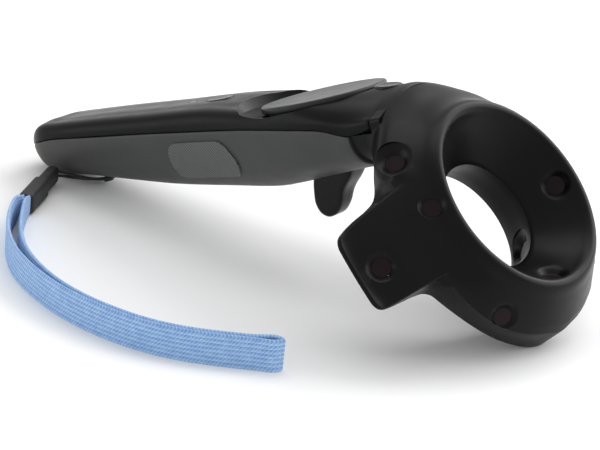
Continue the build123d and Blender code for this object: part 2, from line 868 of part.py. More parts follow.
def make_trigger():
    rim = [trigger_point(s) for s in trigger_rim_shares]
    face = Face(Wire([Spline(*rim, periodic=True).edge()]))
    blade = extrude(face, trigger_half_width, dir=(0, 1, 0), both=True)
    blade = fillet(blade.edges().filter_by(GeomType.LINE, reverse=True), trigger_edge_fillet)
    side_room = block(pivot_forward - trigger_hub_radius * 2, pivot_forward + trigger_hub_radius * 2,
                      trigger_half_width - spring_room, trigger_half_width + overrun,
                      -pivot_drop - trigger_hub_radius, -pivot_drop + 2 * trigger_hub_radius)
    blade = blade - side_room - across_y(bore_radius, trigger_half_width + overrun, pivot_forward, -pivot_drop)
    return blade.solid()


def make_trigger_bracket():
    foot = -pivot_drop - cheek_half_length
    bracket = block(pivot_forward - cheek_half_length, pivot_forward + cheek_half_length,
                    -cheek_outer, cheek_outer, foot, frame_bottom)
    bracket -= block(pivot_forward - overrun, pivot_forward + overrun, -cheek_inner, cheek_inner, foot - overrun,
                     frame_bottom)
    bridge = block(pivot_forward - cheek_half_length, pivot_forward + cheek_half_length, -cheek_outer,
                   cheek_outer, frame_bottom - bridge_thickness, frame_bottom)
    bracket += bridge
    return (bracket - across_y(pin_radius, cheek_outer, pivot_forward, -pivot_drop)).solid()


def make_trigger_spring():
    start = trigger_half_width - spring_room + spring_wire
    coil = Wire(Edge.make_helix(spring_pitch, spring_turns * spring_pitch, spring_radius,
                                center=(pivot_forward, start, -pivot_drop), normal=(0, 1, 0)))
    ring = Plane(origin=coil @ 0, z_dir=coil % 0) * Circle(spring_wire / 2)
    return sweep(ring, coil).solid()


def make_trigger_switch():
    """End switch behind the trigger, hung from the skeleton plate."""
    back = pivot_forward - trigger_back + trigger_side_gap
    return block(back, back + switch_side, -switch_side / 2, switch_side / 2,
                 frame_bottom - switch_side, frame_bottom)


# Charging socket

def make_usb_port():
    x0 = socket_recess
    outer = block(x0, x0 + socket_length, -socket_half_width, socket_half_width, socket_bottom,
                  socket_bottom + socket_height)
    inner = block(x0 - overrun, x0 + socket_length - socket_wall,
                  -socket_half_width + socket_wall, socket_half_width - socket_wall,
                  socket_bottom + socket_wall, socket_bottom + socket_height - socket_wall)
    tongue_half = socket_half_width - socket_wall - tongue_side_gap
    tongue = block(x0 + socket_wall, x0 + socket_length - socket_wall, -tongue_half, tongue_half,
                   socket_centre - tongue_thickness / 2, socket_centre + tongue_thickness / 2)
    return (outer - inner + tongue).solid()


# Strap anchor on the underside

def make_strap_anchor():
    post = upright(anchor_radius, anchor_drop, anchor_forward, 0, -anchor_drop)
    flange = upright(anchor_flange_radius, anchor_flange_thickness, anchor_forward, 0, -anchor_drop)
    return max(((post + flange) - lower_body).solids(), key=lambda s: -s.center().Z)


# Nodes drawn along the handle
handle_nodes = {
    "top_shell": [make_top_shell()],
    "bottom_shell": [make_bottom_shell()],
    "head_front_shell": [make_head_front_shell()],
    "head_rear_shell": [make_head_rear_shell()],
    "neck_collar": [make_neck_collar()],
    "trackpad_disc": [make_trackpad_disc()],
    "trackpad_board": [upright(pad_board_radius, pad_board_thickness, pad_centre, 0, pad_board_bottom)],
    "trackpad_switch": [upright(pad_switch_radius, pad_switch_height, pad_centre, 0, deck_top)],
    "trackpad_deck": [upright(deck_radius, deck_thickness, pad_centre, 0, deck_top - deck_thickness)],
    "menu_button": [make_round_button(menu_plane, menu_height)],
    "menu_switch": [make_switch_under(menu_plane, menu_height, menu_tilt, menu_board_top)],
    "menu_board": [block(menu_board_back, menu_board_front, -menu_board_half_width, menu_board_half_width,
                         menu_board_bottom, menu_board_top)],
    "system_button": [make_round_button(system_plane, system_height)],
    "system_switch": [make_switch_under(system_plane, system_height, system_tilt, board_top)],
    "status_light": [upright(light_radius, light_height, light_forward, 0, light_top - light_height)],
    "light_pipe": [upright(pipe_radius, light_top - light_height - board_top, light_forward, 0, board_top)],
    "grip_button_right": [make_grip_button(-1)],
    "grip_button_left": [make_grip_button(1)],
    "grip_switches": [make_grip_switch(side) for side in (-1, 1)],
    "trigger": [make_trigger()],
    "trigger_pin": [across_y(pin_radius, cheek_outer, pivot_forward, -pivot_drop)],
    "trigger_spring": [make_trigger_spring()],
    "trigger_bracket": [make_trigger_bracket()],
    "trigger_switch": [make_trigger_switch()],
    "inner_frame": [make_inner_frame()],
    "main_board": [make_main_board()],
    "battery": [make_battery()],
    "haptic_motor": [make_haptic_motor()],
    "usb_port": [make_usb_port()],
    "strap_anchor": [make_strap_anchor()],
    "board_screws": [board_screw(x, y) for x in (post_back, post_front) for y in (-post_side, post_side)],
    "head_screws": [head_screw(place) for place in head_screw_place_shares],
    "sensor_ring_board": [make_ring_board()],
    "sensor_chips": [sensor_chip(p) for planes in window_planes.values() for p in planes],
}
for group, planes in window_planes.items():
    handle_nodes["sensor_windows_" + group] = [window_disc(p) for p in planes]

# Turned to its rest on a table and set over the origin
turn = Rot(0, -rest_pitch, 0)
turned_nodes = {name: [turn * s for s in solids] for name, solids in handle_nodes.items()}
reach = Compound([s for solids in turned_nodes.values() for s in solids]).bounding_box()
shift = Pos(-(reach.min.X + reach.max.X) / 2, 0, -reach.min.Z - rest_flat)
nodes = {name: [shift * s for s in solids] for name, solids in turned_nodes.items()}
middle = (reach.min.X + reach.max.X) / 2
under_table = block(-handle_length, handle_length, -ear_reach - overrun, ear_reach + overrun, -overrun, 0)
for name in ("bottom_shell", "head_front_shell", "head_rear_shell"):
    low = nodes[name][0].bounding_box().min.Z
    print("rest", name, round(low, 3))
    nodes[name] = [(nodes[name][0] - under_table).solid()]

# Thin cord from the sleeve round the anchor and back, on the table's own axes with the tail at zero
lanyard_points = [
    (17.0, -14.4, 4.4), (20.6, -11.2, 3.5), (24.3, -7.3, 2.3), (27.8, -3.7, 1.8), (30.8, -0.6, 2.5),
    (30.3, 1.5, 2.4), (28.8, 2.3, 1.9), (27.3, 1.5, 1.3), (26.8, -0.6, 1.1), (24.4, -4.2, 1.0),
    (21.7, -8.2, 1.7), (19.1, -11.7, 2.3), (16.7, -14.4, 2.8),
]


def cord_radii(points):
    """Radius of each corner: 0.45 of the shorter run over the tangent of half the turn."""
    radii = []
    for a, b, c in zip(points, points[1:], points[2:]):
        first, second = Vector(*b) - Vector(*a), Vector(*c) - Vector(*b)
        turn_half = math.radians(first.get_angle(second)) / 2
        radii.append(0.45 * min(first.length, second.length) / math.tan(turn_half))
    return radii


def make_lanyard_cord():
    points = [(x - middle, y, z) for x, y, z in lanyard_points]
    radii = cord_radii(points)
    print("lanyard radii", [round(r, 1) for r in radii])
    path = FilletPolyline(*points, radius=radii)
    ring = Plane(origin=path @ 0, z_dir=path % 0) * Circle(cord_diameter / 2)
    tube = sweep(ring, path.wire()).solid()
    print("lanyard length", round(path.length, 1), "volume over section", round(
        tube.volume / (math.pi * cord_diameter ** 2 / 4), 1))
    return tube


# Route of the strap's middle line on the table, and half of the doubled strap's thickness along it
strap_points = [(30.55, -44.35), (34.6, -51.2), (40.4, -59.6), (47.2, -67.9), (55.2, -76.3),
                (65.0, -84.2), (77.0, -90.8), (90.0, -95.6), (103.0, -98.2), (116.0, -98.7), (127.0, -97.4),
                (137.5, -93.9), (147.0, -88.7), (156.0, -82.6), (162.0, -77.9)]
strap_spread_shares = [1.25, 1.6, 1.9, 2.0, 1.9, 1.7, 1.5, 1.35, 1.25, 1.2, 1.2, 1.2, 1.2, 1.25, 1.3]


def offset_route(points, offsets):
    """Points moved to the left of the route by their own offsets."""
    moved = []
    last = len(points) - 1
    for i, (x, y) in enumerate(points):
        before, after = points[max(i - 1, 0)], points[min(i + 1, last)]
        run_x, run_y = after[0] - before[0], after[1] - before[1]
        size = math.hypot(run_x, run_y)
        moved.append((x - offsets[i] * run_y / size, y + offsets[i] * run_x / size))
    return moved


def closed_band(points, halves):
    """Face between the two sides of a route, with a round far end."""
    near = offset_route(points, [-h for h in halves])
    far = offset_route(points, halves)
    tip = (2 * points[-1][0] - points[-2][0] - points[-1][0], 2 * points[-1][1] - points[-2][1] - points[-1][1])
    size = math.hypot(*tip)
    nose = (points[-1][0] + tip[0] / size * halves[-1], points[-1][1] + tip[1] / size * halves[-1])
    edges = [Spline(*near), ThreePointArc(near[-1], nose, far[-1]), Spline(*reversed(far)), Line(far[0], near[0])]
    return Face(Wire([e.edge() for e in edges]))


def make_wrist_strap():
    points = [(x - middle, y) for x, y in strap_points]
    halves = [share * strap_thickness for share in strap_spread_shares]
    gaps = [half - strap_thickness for half in halves]
    ring = closed_band(points, halves) - closed_band(points, gaps)
    strap = extrude(Pos(0, 0, strap_clearance) * ring, strap_width)
    print("strap middle line", round(sum(math.dist(a, b) for a, b in zip(strap_points, strap_points[1:])), 1))
    return strap.solids()


def make_strap_sleeve():
    """Rubber sleeve standing on its edge, with a lower cap at the cord's end."""
    start = Vector(sleeve_start[0] - middle, sleeve_start[1], 0)
    end = Vector(sleeve_end[0] - middle, sleeve_end[1], 0)
    run = end - start
    plane = Plane(origin=start, x_dir=run.normalized(), z_dir=(0, 0, 1))
    cap_length = run.length * sleeve_cap_share
    cap = block(0, cap_length, -sleeve_cap_thickness / 2, sleeve_cap_thickness / 2,
                sleeve_lift + (sleeve_height - sleeve_cap_height) / 2,
                sleeve_lift + (sleeve_height + sleeve_cap_height) / 2)
    body = block(cap_length, run.length, -sleeve_thickness / 2, sleeve_thickness / 2, sleeve_lift,
                 sleeve_lift + sleeve_height)
    cap = fillet(cap.edges().filter_by(Axis.X), sleeve_edge)
    body = fillet(body.edges().filter_by(Axis.X), sleeve_edge)
    return shape_on(plane, cap + body)


nodes["lanyard_cord"] = [make_lanyard_cord()]
nodes["wrist_strap"] = make_wrist_strap()
nodes["strap_sleeve"] = [make_strap_sleeve()]

for name, solids in nodes.items():
    flat = [s for item in solids for s in item.solids()]
    export_step(Compound(flat) if len(flat) > 1 else flat[0], "parts/" + name + ".step")

print("tail tip at", round(-middle, 3), round(-reach.min.Z - rest_flat, 3), "pitch", rest_pitch)
print("nodes", len(nodes), "solids", sum(len(s) for s in nodes.values()))
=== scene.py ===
import math

import bmesh
import bpy
from mathutils import Matrix, Vector


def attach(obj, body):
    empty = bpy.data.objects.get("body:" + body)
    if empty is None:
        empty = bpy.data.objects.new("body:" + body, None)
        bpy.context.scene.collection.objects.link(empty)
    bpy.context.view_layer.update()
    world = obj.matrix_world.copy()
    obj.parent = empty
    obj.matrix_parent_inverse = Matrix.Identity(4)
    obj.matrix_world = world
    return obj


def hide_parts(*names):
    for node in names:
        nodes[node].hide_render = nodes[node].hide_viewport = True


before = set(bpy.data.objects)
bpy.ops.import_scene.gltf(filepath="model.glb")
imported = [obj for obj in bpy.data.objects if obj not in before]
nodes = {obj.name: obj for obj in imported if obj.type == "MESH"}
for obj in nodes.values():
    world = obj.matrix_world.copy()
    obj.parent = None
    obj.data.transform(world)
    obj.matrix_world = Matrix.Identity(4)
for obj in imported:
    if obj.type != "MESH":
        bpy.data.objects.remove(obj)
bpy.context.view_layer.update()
scene = bpy.context.scene

# The wand is drawn along its handle in millimetres, tail tip at the origin, and then laid on the table
mm = 0.001
tail_forward = -106.902
tail_lift = 7.007
pitch = math.radians(23.2)
to_table = (Matrix.Scale(mm, 4) @ Matrix.Translation((tail_forward, 0, tail_lift))
            @ Matrix.Rotation(-pitch, 4, "Y"))


# Camera at the photograph's place

def set_camera(azimuth, elevation, roll, distance, look_at, lens):
    """Camera on a circle round the object, its angles in degrees, turned by the roll about its own view."""
    azimuth, elevation, roll = (math.radians(a) for a in (azimuth, elevation, roll))
    back = Vector((math.cos(elevation) * math.sin(azimuth), -math.cos(elevation) * math.cos(azimuth),
                   math.sin(elevation)))
    right = Vector((math.cos(azimuth), math.sin(azimuth), 0))
    up = back.cross(right)
    rolled_right = math.cos(roll) * right + math.sin(roll) * up
    rolled_up = math.cos(roll) * up - math.sin(roll) * right
    place = Vector(look_at) + back * distance
    camera = bpy.data.cameras.new("camera")
    camera.lens = lens
    camera.sensor_width = 36
    camera.clip_start = 0.05
    camera.clip_end = 20
    holder = bpy.data.objects.new("camera", camera)
    holder.matrix_world = Matrix((
        (rolled_right.x, rolled_up.x, back.x, place.x),
        (rolled_right.y, rolled_up.y, back.y, place.y),
        (rolled_right.z, rolled_up.z, back.z, place.z),
        (0, 0, 0, 1)))
    scene.collection.objects.link(holder)
    scene.camera = holder


set_camera(35.06, 21.43, 5.77, 0.9446, (0.0035, 0, 0.01008), 174.06)


# Materials

class Finish:
    """A material with its shader and short ways to add nodes."""

    def __init__(self, name, **settings):
        self.material = bpy.data.materials.new(name)
        self.material.use_nodes = True
        self.tree = self.material.node_tree
        self.shader = self.tree.nodes["Principled BSDF"]
        for socket, value in settings.items():
            self.shader.inputs[socket.replace("_", " ")].default_value = value

    def add(self, kind, **settings):
        node = self.tree.nodes.new(kind)
        for key, value in settings.items():
            if key in node.inputs.keys():
                node.inputs[key].default_value = value
            else:
                setattr(node, key, value)
        return node

    def join(self, start, end):
        self.tree.links.new(start, end)

    def reckon(self, operation, *values):
        """Output of a math node over numbers and other outputs."""
        node = self.add("ShaderNodeMath", operation=operation)
        for socket, value in zip(node.inputs, values):
            if isinstance(value, (int, float)):
                socket.default_value = value
            else:
                self.join(value, socket)
        return node.outputs[0]

    def object_place(self):
        return self.add("ShaderNodeTexCoord").outputs["Object"]

    def noise(self, scale, detail=2.0, place=None):
        node = self.add("ShaderNodeTexNoise", Scale=scale, Detail=detail)
        self.join(place or self.object_place(), node.inputs["Vector"])
        return node.outputs["Fac"]

    def spread(self, value, low, high, first=0.3, last=0.7):
        node = self.add("ShaderNodeMapRange")
        for socket, number in (("From Min", first), ("From Max", last), ("To Min", low), ("To Max", high)):
            node.inputs[socket].default_value = number
        self.join(value, node.inputs["Value"])
        return node.outputs["Result"]

    def tint(self, value, dark, light):
        node = self.add("ShaderNodeMix", data_type="RGBA")
        node.inputs[6].default_value = (*dark, 1)
        node.inputs[7].default_value = (*light, 1)
        self.join(value, node.inputs[0])
        self.join(node.outputs[2], self.shader.inputs["Base Color"])

    def rough(self, value, low, high):
        self.join(self.spread(value, low, high), self.shader.inputs["Roughness"])

    def bump(self, height, distance, strength=1.0):
        node = self.add("ShaderNodeBump", Strength=strength, Distance=distance)
        self.join(height, node.inputs["Height"])
        self.join(node.outputs["Normal"], self.shader.inputs["Normal"])


def moulded(name, dark, light, rough_low, rough_high, grain=2600, depth=0.00002, gloss=0.5, **settings):
    """Moulded plastic: faint cloudiness, fine texture and a roughness that wanders a little."""
    finish = Finish(name, Specular_IOR_Level=gloss, **settings)
    finish.tint(finish.spread(finish.noise(60, 3), 0, 1), dark, light)
    finish.rough(finish.noise(180, 4), rough_low, rough_high)
    finish.bump(finish.noise(grain, 2), depth, 0.6)
    return finish


def brushed(name, colour, roughness):
    """Bare metal with fine brushing along its length."""
    finish = Finish(name, Metallic=1.0)
    place = finish.add("ShaderNodeMapping", Scale=(1, 12, 1))
    finish.join(finish.object_place(), place.inputs["Vector"])
    streaks = finish.noise(900, 3, place.outputs["Vector"])
    finish.tint(finish.spread(streaks, 0, 1), [c * 0.8 for c in colour], colour)
    finish.rough(streaks, roughness * 0.8, roughness * 1.3)
    finish.bump(streaks, 0.00001, 0.5)
    return finish


cover_black = moulded("cover_black", (0.0035, 0.0035, 0.0038), (0.005, 0.005, 0.0054), 0.30, 0.36, gloss=0.11)
cover_grey = moulded("cover_grey", (0.050, 0.052, 0.049), (0.058, 0.060, 0.056), 0.46, 0.56,
                    3200, 0.00003, 0.30)
collar_black = moulded("collar_black", (0.004, 0.004, 0.004), (0.006, 0.006, 0.006), 0.45, 0.55, gloss=0.16)
pad_satin = moulded("pad_satin", (0.020, 0.020, 0.021), (0.026, 0.026, 0.027), 0.34, 0.40,
                    3600, 0.00001, 0.22)
trigger_gloss = moulded("trigger_gloss", (0.006, 0.006, 0.006), (0.009, 0.009, 0.009), 0.12, 0.18,
                        2000, 0.000004, 0.20)
button_satin = moulded("button_satin", (0.010, 0.010, 0.010), (0.014, 0.014, 0.014), 0.24, 0.30, gloss=0.20)
sleeve_rubber = moulded("sleeve_rubber", (0.010, 0.010, 0.010), (0.017, 0.017, 0.017), 0.55, 0.68,
                        1800, 0.00005)
window_red = moulded("window_red", (0.009, 0.0045, 0.0065), (0.015, 0.008, 0.011), 0.10, 0.16,
                     2000, 0.000002, 0.10)
lens_milky = moulded("lens_milky", (0.30, 0.32, 0.33), (0.36, 0.38, 0.39), 0.2, 0.3, Transmission_Weight=0.2)
board_green = moulded("board_green", (0.010, 0.070, 0.030), (0.016, 0.100, 0.045), 0.35, 0.5, 700, 0.00008)
switch_dark = moulded("switch_dark", (0.014, 0.014, 0.016), (0.022, 0.022, 0.024), 0.25, 0.4)
chip_black = moulded("chip_black", (0.008, 0.008, 0.012), (0.012, 0.012, 0.018), 0.12, 0.2)
frame_grey = moulded("frame_grey", (0.09, 0.09, 0.09), (0.12, 0.12, 0.12), 0.5, 0.65, 1500, 0.00005)
cell_wrap = moulded("cell_wrap", (0.35, 0.35, 0.37), (0.45, 0.45, 0.47), 0.3, 0.42, 800, 0.00004,
                    Metallic=0.6)
steel = brushed("steel", (0.55, 0.55, 0.56), 0.3)


hatch_slant = math.radians(52)
hatch_scale = 340
hatch_height = 0.0001


def hatched_grip():
    """Fine slanted ribs over the grip buttons, painted lighter on their crests and darker in their grooves:
    painted highlight and painted shade.
    """
    finish = Finish("grip_hatched")
    turned = finish.add("ShaderNodeMapping", Rotation=(0, hatch_slant, 0))
    finish.join(finish.object_place(), turned.inputs["Vector"])
    wave = finish.add("ShaderNodeTexWave", wave_type="BANDS", bands_direction="X", wave_profile="SIN",
                      Scale=hatch_scale)
    finish.join(turned.outputs["Vector"], wave.inputs["Vector"])
    # The bands that raise the ribs also colour them: painted highlight on the crests, painted shade in the
    # grooves.
    finish.tint(wave.outputs["Fac"], (0.040, 0.042, 0.039), (0.135, 0.140, 0.130))
    finish.rough(finish.noise(400, 3), 0.45, 0.6)
    finish.bump(wave.outputs["Fac"], hatch_height, 0.9)
    return finish


grip_hatched = hatched_grip()


ribs_per_mm = 0.7
picks_per_mm = 0.9
pick_slant = 2.2
pick_height = 0.00012


def woven_strap():
    """Woven band: ribs along it and short picks across, on the strap's own map in millimetres, painted darker
    in the rib grooves and lighter on the picks: painted shade and painted highlight over a cloudy tone.
    """
    finish = Finish("strap_woven", Sheen_Weight=0.25, Sheen_Roughness=0.5)
    parts = finish.add("ShaderNodeSeparateXYZ")
    finish.join(finish.add("ShaderNodeUVMap", uv_map="band").outputs["UV"], parts.inputs[0])

    def wave(value, per_mm, shift=0):
        return finish.reckon("SINE", finish.reckon("MULTIPLY_ADD", value, per_mm * 2 * math.pi, shift))

    across = wave(parts.outputs["X"], ribs_per_mm)
    picks = wave(parts.outputs["Y"], picks_per_mm, finish.reckon("MULTIPLY", across, pick_slant))
    cloudy = finish.noise(500, 4)
    # Painted shade in the grooves between ribs and painted highlight on the picks' crests, over a random
    # cloudy tone.
    ribs = finish.reckon("MULTIPLY_ADD", across, 0.30, cloudy)
    shade = finish.reckon("MULTIPLY_ADD", picks, 0.25, ribs)
    finish.tint(finish.spread(shade, 0, 1, 0.0, 1.0), (0.165, 0.330, 0.680), (0.460, 0.690, 0.970))
    finish.rough(cloudy, 0.65, 0.85)
    finish.bump(picks, pick_height, 0.8)
    return finish


strap_woven = woven_strap()


def braided_cord():
    """Fine slanted strands round the thin cord, painted lighter on their crests and darker between them:
    painted highlight and painted shade.
    """
    finish = Finish("cord_braided", Sheen_Weight=0.2)
    wave = finish.add("ShaderNodeTexWave", wave_type="BANDS", bands_direction="DIAGONAL", Scale=900,
                      Distortion=1.5)
    finish.join(finish.object_place(), wave.inputs["Vector"])
    # The bands that raise the strands also colour them: painted highlight on the strands, painted shade
    # between them.
    finish.tint(wave.outputs["Fac"], (0.006, 0.006, 0.006), (0.022, 0.022, 0.022))
    finish.rough(finish.noise(900), 0.55, 0.75)
    finish.bump(wave.outputs["Fac"], 0.00006, 0.8)
    return finish


cord_braided = braided_cord()


# Shaping

def eased(first, last, leave, arrive, t):
    """From first to last at a share of the way, leaving and arriving with the given slopes."""
    return (first * (1 + 2 * t) * (1 - t) ** 2 + leave * t * (1 - t) ** 2
            + last * t * t * (3 - 2 * t) + arrive * t * t * (t - 1))


def smooth_line(points, leave, arrive, counts):
    """Points along a smooth line through the given ones, with so many steps in each span."""
    points = [Vector(p) for p in points]
    spans = [(b - a).length for a, b in zip(points, points[1:])]
    slopes = [Vector(leave).normalized()]
    for i in range(1, len(points) - 1):
        before = (points[i] - points[i - 1]) / spans[i - 1]
        after = (points[i + 1] - points[i]) / spans[i]
        slopes.append((before * spans[i] + after * spans[i - 1]) / (spans[i] + spans[i - 1]))
    slopes.append(Vector(arrive).normalized())
    line = []
    for i, span in enumerate(spans):
        steps = counts if isinstance(counts, int) else counts[i]
        line += [eased(points[i], points[i + 1], slopes[i] * span, slopes[i + 1] * span, k / steps)
                 for k in range(steps)]
    line.append(points[-1])
    return line


def skin(rows, capped=True, weld=0.0005):
    """Closed surface over rows of points. Each row is a closed loop, its last point on its first."""
    bm = bmesh.new()
    along, around = len(rows) - 1, len(rows[0]) - 1
    bmesh.ops.create_grid(bm, x_segments=around, y_segments=along, size=0.5)
    for vert in bm.verts:
        i = round((vert.co.x + 0.5) * around)
        j = round((vert.co.y + 0.5) * along)
        vert.co = rows[j][i]
    bmesh.ops.remove_doubles(bm, verts=bm.verts, dist=weld)
    if capped:
        bmesh.ops.holes_fill(bm, edges=[e for e in bm.edges if e.is_boundary], sides=0)
    bmesh.ops.recalc_face_normals(bm, faces=bm.faces)
    return bm


def turned_piece(profile, turns=64, weld=0.0001):
    """Solid of revolution about Z from a profile of (radius, height) that starts and ends on the axis."""
    bm = bmesh.new()
    verts = [bm.verts.new((r, 0, z)) for r, z in profile]
    edges = [bm.edges.new(pair) for pair in zip(verts, verts[1:])]
    bmesh.ops.spin(bm, geom=verts + edges, cent=(0, 0, 0), axis=(0, 0, 1), angle=2 * math.pi, steps=turns,
                   use_merge=True)
    bmesh.ops.remove_doubles(bm, verts=bm.verts, dist=weld)
    bmesh.ops.recalc_face_normals(bm, faces=bm.faces)
    return bm


def rod(radius, reach, turns):
    """Solid cylinder along Z, as far below zero as above."""
    return turned_piece([(0, -reach), (radius, -reach), (radius, reach), (0, reach)], turns)


def block(back, front, right, left, low, high):
    """Box between two levels in each direction."""
    bm = bmesh.new()
    bmesh.ops.create_cube(bm, size=1)
    for vert in bm.verts:
        vert.co = ((back + front) / 2 + vert.co.x * (front - back),
                   (right + left) / 2 + vert.co.y * (left - right),
                   (low + high) / 2 + vert.co.z * (high - low))
    return bm


def moved(bm, matrix):
    bmesh.ops.transform(bm, matrix=matrix, verts=bm.verts)
    return bm


def shown(name, bm):
    mesh = bpy.data.meshes.new(name)
    bm.to_mesh(mesh)
    bm.free()
    item = bpy.data.objects.new(name, mesh)
    scene.collection.objects.link(item)
    return item


def combined(bm, tool, operation="DIFFERENCE"):
    """One shape cut by, joined to or kept inside another."""
    item, other = shown("work", bm), shown("tool", tool)
    cut = item.modifiers.new("cut", "BOOLEAN")
    cut.operation = operation
    cut.solver = "MANIFOLD"
    cut.object = other
    mesh = bpy.data.meshes.new_from_object(item.evaluated_get(bpy.context.evaluated_depsgraph_get()))
    result = bmesh.new()
    result.from_mesh(mesh)
    for spare in (item, other):
        worn = spare.data
        bpy.data.objects.remove(spare)
        bpy.data.meshes.remove(worn)
    bpy.data.meshes.remove(mesh)
    return result


piece_weld = 0.000002


def piece(name, bm, finish, stands_for=(), body="wand", sharp=32, place=to_table):
    """A finished piece: laid on the table, shaded smooth with crisp edges, riding on its body."""
    moved(bm, place)
    bmesh.ops.remove_doubles(bm, verts=bm.verts, dist=piece_weld)
    item = shown(name, bm)
    item.data.shade_smooth()
    item.data.set_sharp_from_angle(angle=math.radians(sharp))
    item.data.materials.append(finish.material)
    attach(item, body)
    if stands_for:
        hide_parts(*stands_for)
    return item


# Thin cord first: its route is the part's own, on the table with the tail's tip above zero
lanyard_points = [
    (17.0, -14.4, 4.4), (20.6, -11.2, 3.5), (24.3, -7.3, 2.3), (27.8, -3.7, 1.8), (30.8, -0.6, 2.5),
    (30.3, 1.5, 2.4), (28.8, 2.3, 1.9), (27.3, 1.5, 1.3), (26.8, -0.6, 1.1), (24.4, -4.2, 1.0),
    (21.7, -8.2, 1.7), (19.1, -11.7, 2.3), (16.7, -14.4, 2.8),
]
cord_diameter = 1.0


def make_lanyard():
    curve = bpy.data.curves.new("lanyard_cord_soft", "CURVE")
    curve.dimensions = "3D"
    curve.bevel_depth = cord_diameter / 2 * mm
    curve.bevel_resolution = 6
    curve.resolution_u = 12
    curve.use_fill_caps = True
    spline = curve.splines.new("NURBS")
    spline.points.add(len(lanyard_points) - 1)
    for point, (x, y, z) in zip(spline.points, lanyard_points):
        point.co = ((x + tail_forward) * mm, y * mm, z * mm, 1)
    spline.order_u = 3
    spline.use_endpoint_u = True
    cord = bpy.data.objects.new("lanyard_cord_soft", curve)
    scene.collection.objects.link(cord)
    curve.materials.append(cord_braided.material)
    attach(cord, "wand")
    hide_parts("lanyard_cord")


make_lanyard()

# Sizes of the handle covers, the same as the part's
handle_length = 157.0
handle_half_width = 23.4
crown_height = 8.7
belly_drop = 27.3
seam_drop = 11.5
wall = 2.0
seam_gap = 0.2
overrun = 6.0
edge_round = 0.55
edge_steps = 0.3
foot_steps = 0.28

# Stations from tail to head: place, half width, crown, belly and seam in shares of the sizes above, then how
# high the shoulder and the midway point of the upper side stand between seam and crown
handle_station_shares = [
    (0.003, 0.15, 0.12, 0.12, 0.04, 0.70, 0.965),
    (0.013, 0.32, 0.36, 0.23, 0.00, 0.70, 0.965),
    (0.032, 0.48, 0.62, 0.33, -0.07, 0.71, 0.965),
    (0.064, 0.61, 0.85, 0.441, -0.12, 0.72, 0.965),
    (0.115, 0.67, 0.815, 0.476, -0.15, 0.72, 0.965),
    (0.223, 0.70, 0.75, 0.60, -0.05, 0.72, 0.965),
    (0.382, 0.73, 0.61, 0.777, 0.10, 0.72, 0.965),
    (0.541, 0.78, 0.48, 0.897, 0.27, 0.74, 0.965),
    (0.656, 0.87, 0.20, 0.97, 0.38, 0.78, 0.95),
    (0.732, 0.955, 0.10, 0.96, 0.47, 0.80, 0.95),
    (0.803, 1.00, 0.138, 0.925, 0.575, 0.85, 0.965),
    (0.879, 0.985, 0.10, 0.895, 0.73, 0.60, 0.90),
    (0.9427, 0.955, 0.03, 0.88, 1.00, 0.52, 0.81),
    (1.00, 0.955, -0.10, 0.87, 0.90, 0.40, 0.74),
]
steps_between_stations = 5
upper_count = 14
lower_count = 13
room_first = 2


def station_at(place):
    """Sizes of the handle's section at a place counted in stations, eased from one to the next."""
    last = len(handle_station_shares) - 1
    i = min(int(place), last - 1)
    sizes = []
    for column in range(len(handle_station_shares[0])):
        at = [handle_station_shares[min(max(i + k, 0), last)][column] for k in (-1, 0, 1, 2)]
        sizes.append(eased(at[1], at[2], (at[2] - at[0]) / 2, (at[3] - at[1]) / 2, place - i))
    forward, width, crown, belly, seam, shoulder, midway = sizes
    return (forward * handle_length, width * handle_half_width, crown * crown_height, -belly * belly_drop,
            -seam * seam_drop, shoulder, midway)


def section(half, place, inset=0.0, lip=0.0, reach=0.0):
    """Closed loop of the upper or lower half's section, its foot rounded where it shows."""
    forward, width, crown, belly, seam, shoulder, midway = station_at(place)
    width -= inset
    forward += reach
    if half == "upper":
        foot, tall, way = seam, crown - inset - seam, 1
        side = [(1.0, 0.0), (0.985, 0.30), (0.90, shoulder), (0.52, midway), (0.0, 1.0)]
    else:
        foot = seam - seam_gap
        tall, way = foot - belly - inset, -1
        side = [(1.0, 0.0), (0.97, 0.30), (0.82, 0.66), (0.48, 0.93), (0.0, 1.0)]
    points = [(forward, -width * a, foot + way * tall * b) for a, b in side]
    right = smooth_line(points, (0, 0, way), (0, 1, 0), [6, 7, 8, 8])
    if lip:
        right = [Vector((forward, -width, foot - way * lip))] + right
    else:
        small = min(edge_round, width / 4, tall / 8)
        step = foot_steps * small
        start = [Vector((forward, -width + small, foot)), Vector((forward, -width + step, foot + way * step))]
        right = start + [right[0] + Vector((0, 0, way * small))] + right[1:]
    left = [Vector((p.x, -p.y, p.z)) for p in reversed(right[:-1])]
    loop = right + left
    first, final = loop[0], loop[-1]
    base = [final + (first - final) * k / 6 for k in range(1, 7)]
    return loop + base


def handle_body(half, first, count, inset=0.0, lip=0.0, reach=0.0):
    """Closed body over the handle's stations, its front edge rounded where it has no lip."""
    steps = (count - 1 - first) * steps_between_stations
    rows = [section(half, first + k / steps_between_stations, inset, lip) for k in range(steps)]
    final = count - 1
    if lip:
        rows.append(section(half, final, inset, lip, reach))
    else:
        rows.append(section(half, final, inset, 0, -edge_round))
        rows.append(section(half, final, inset + edge_steps * edge_round, 0, -edge_steps * edge_round))
        rows.append(section(half, final, inset + edge_round, 0, 0))
    return skin(rows)


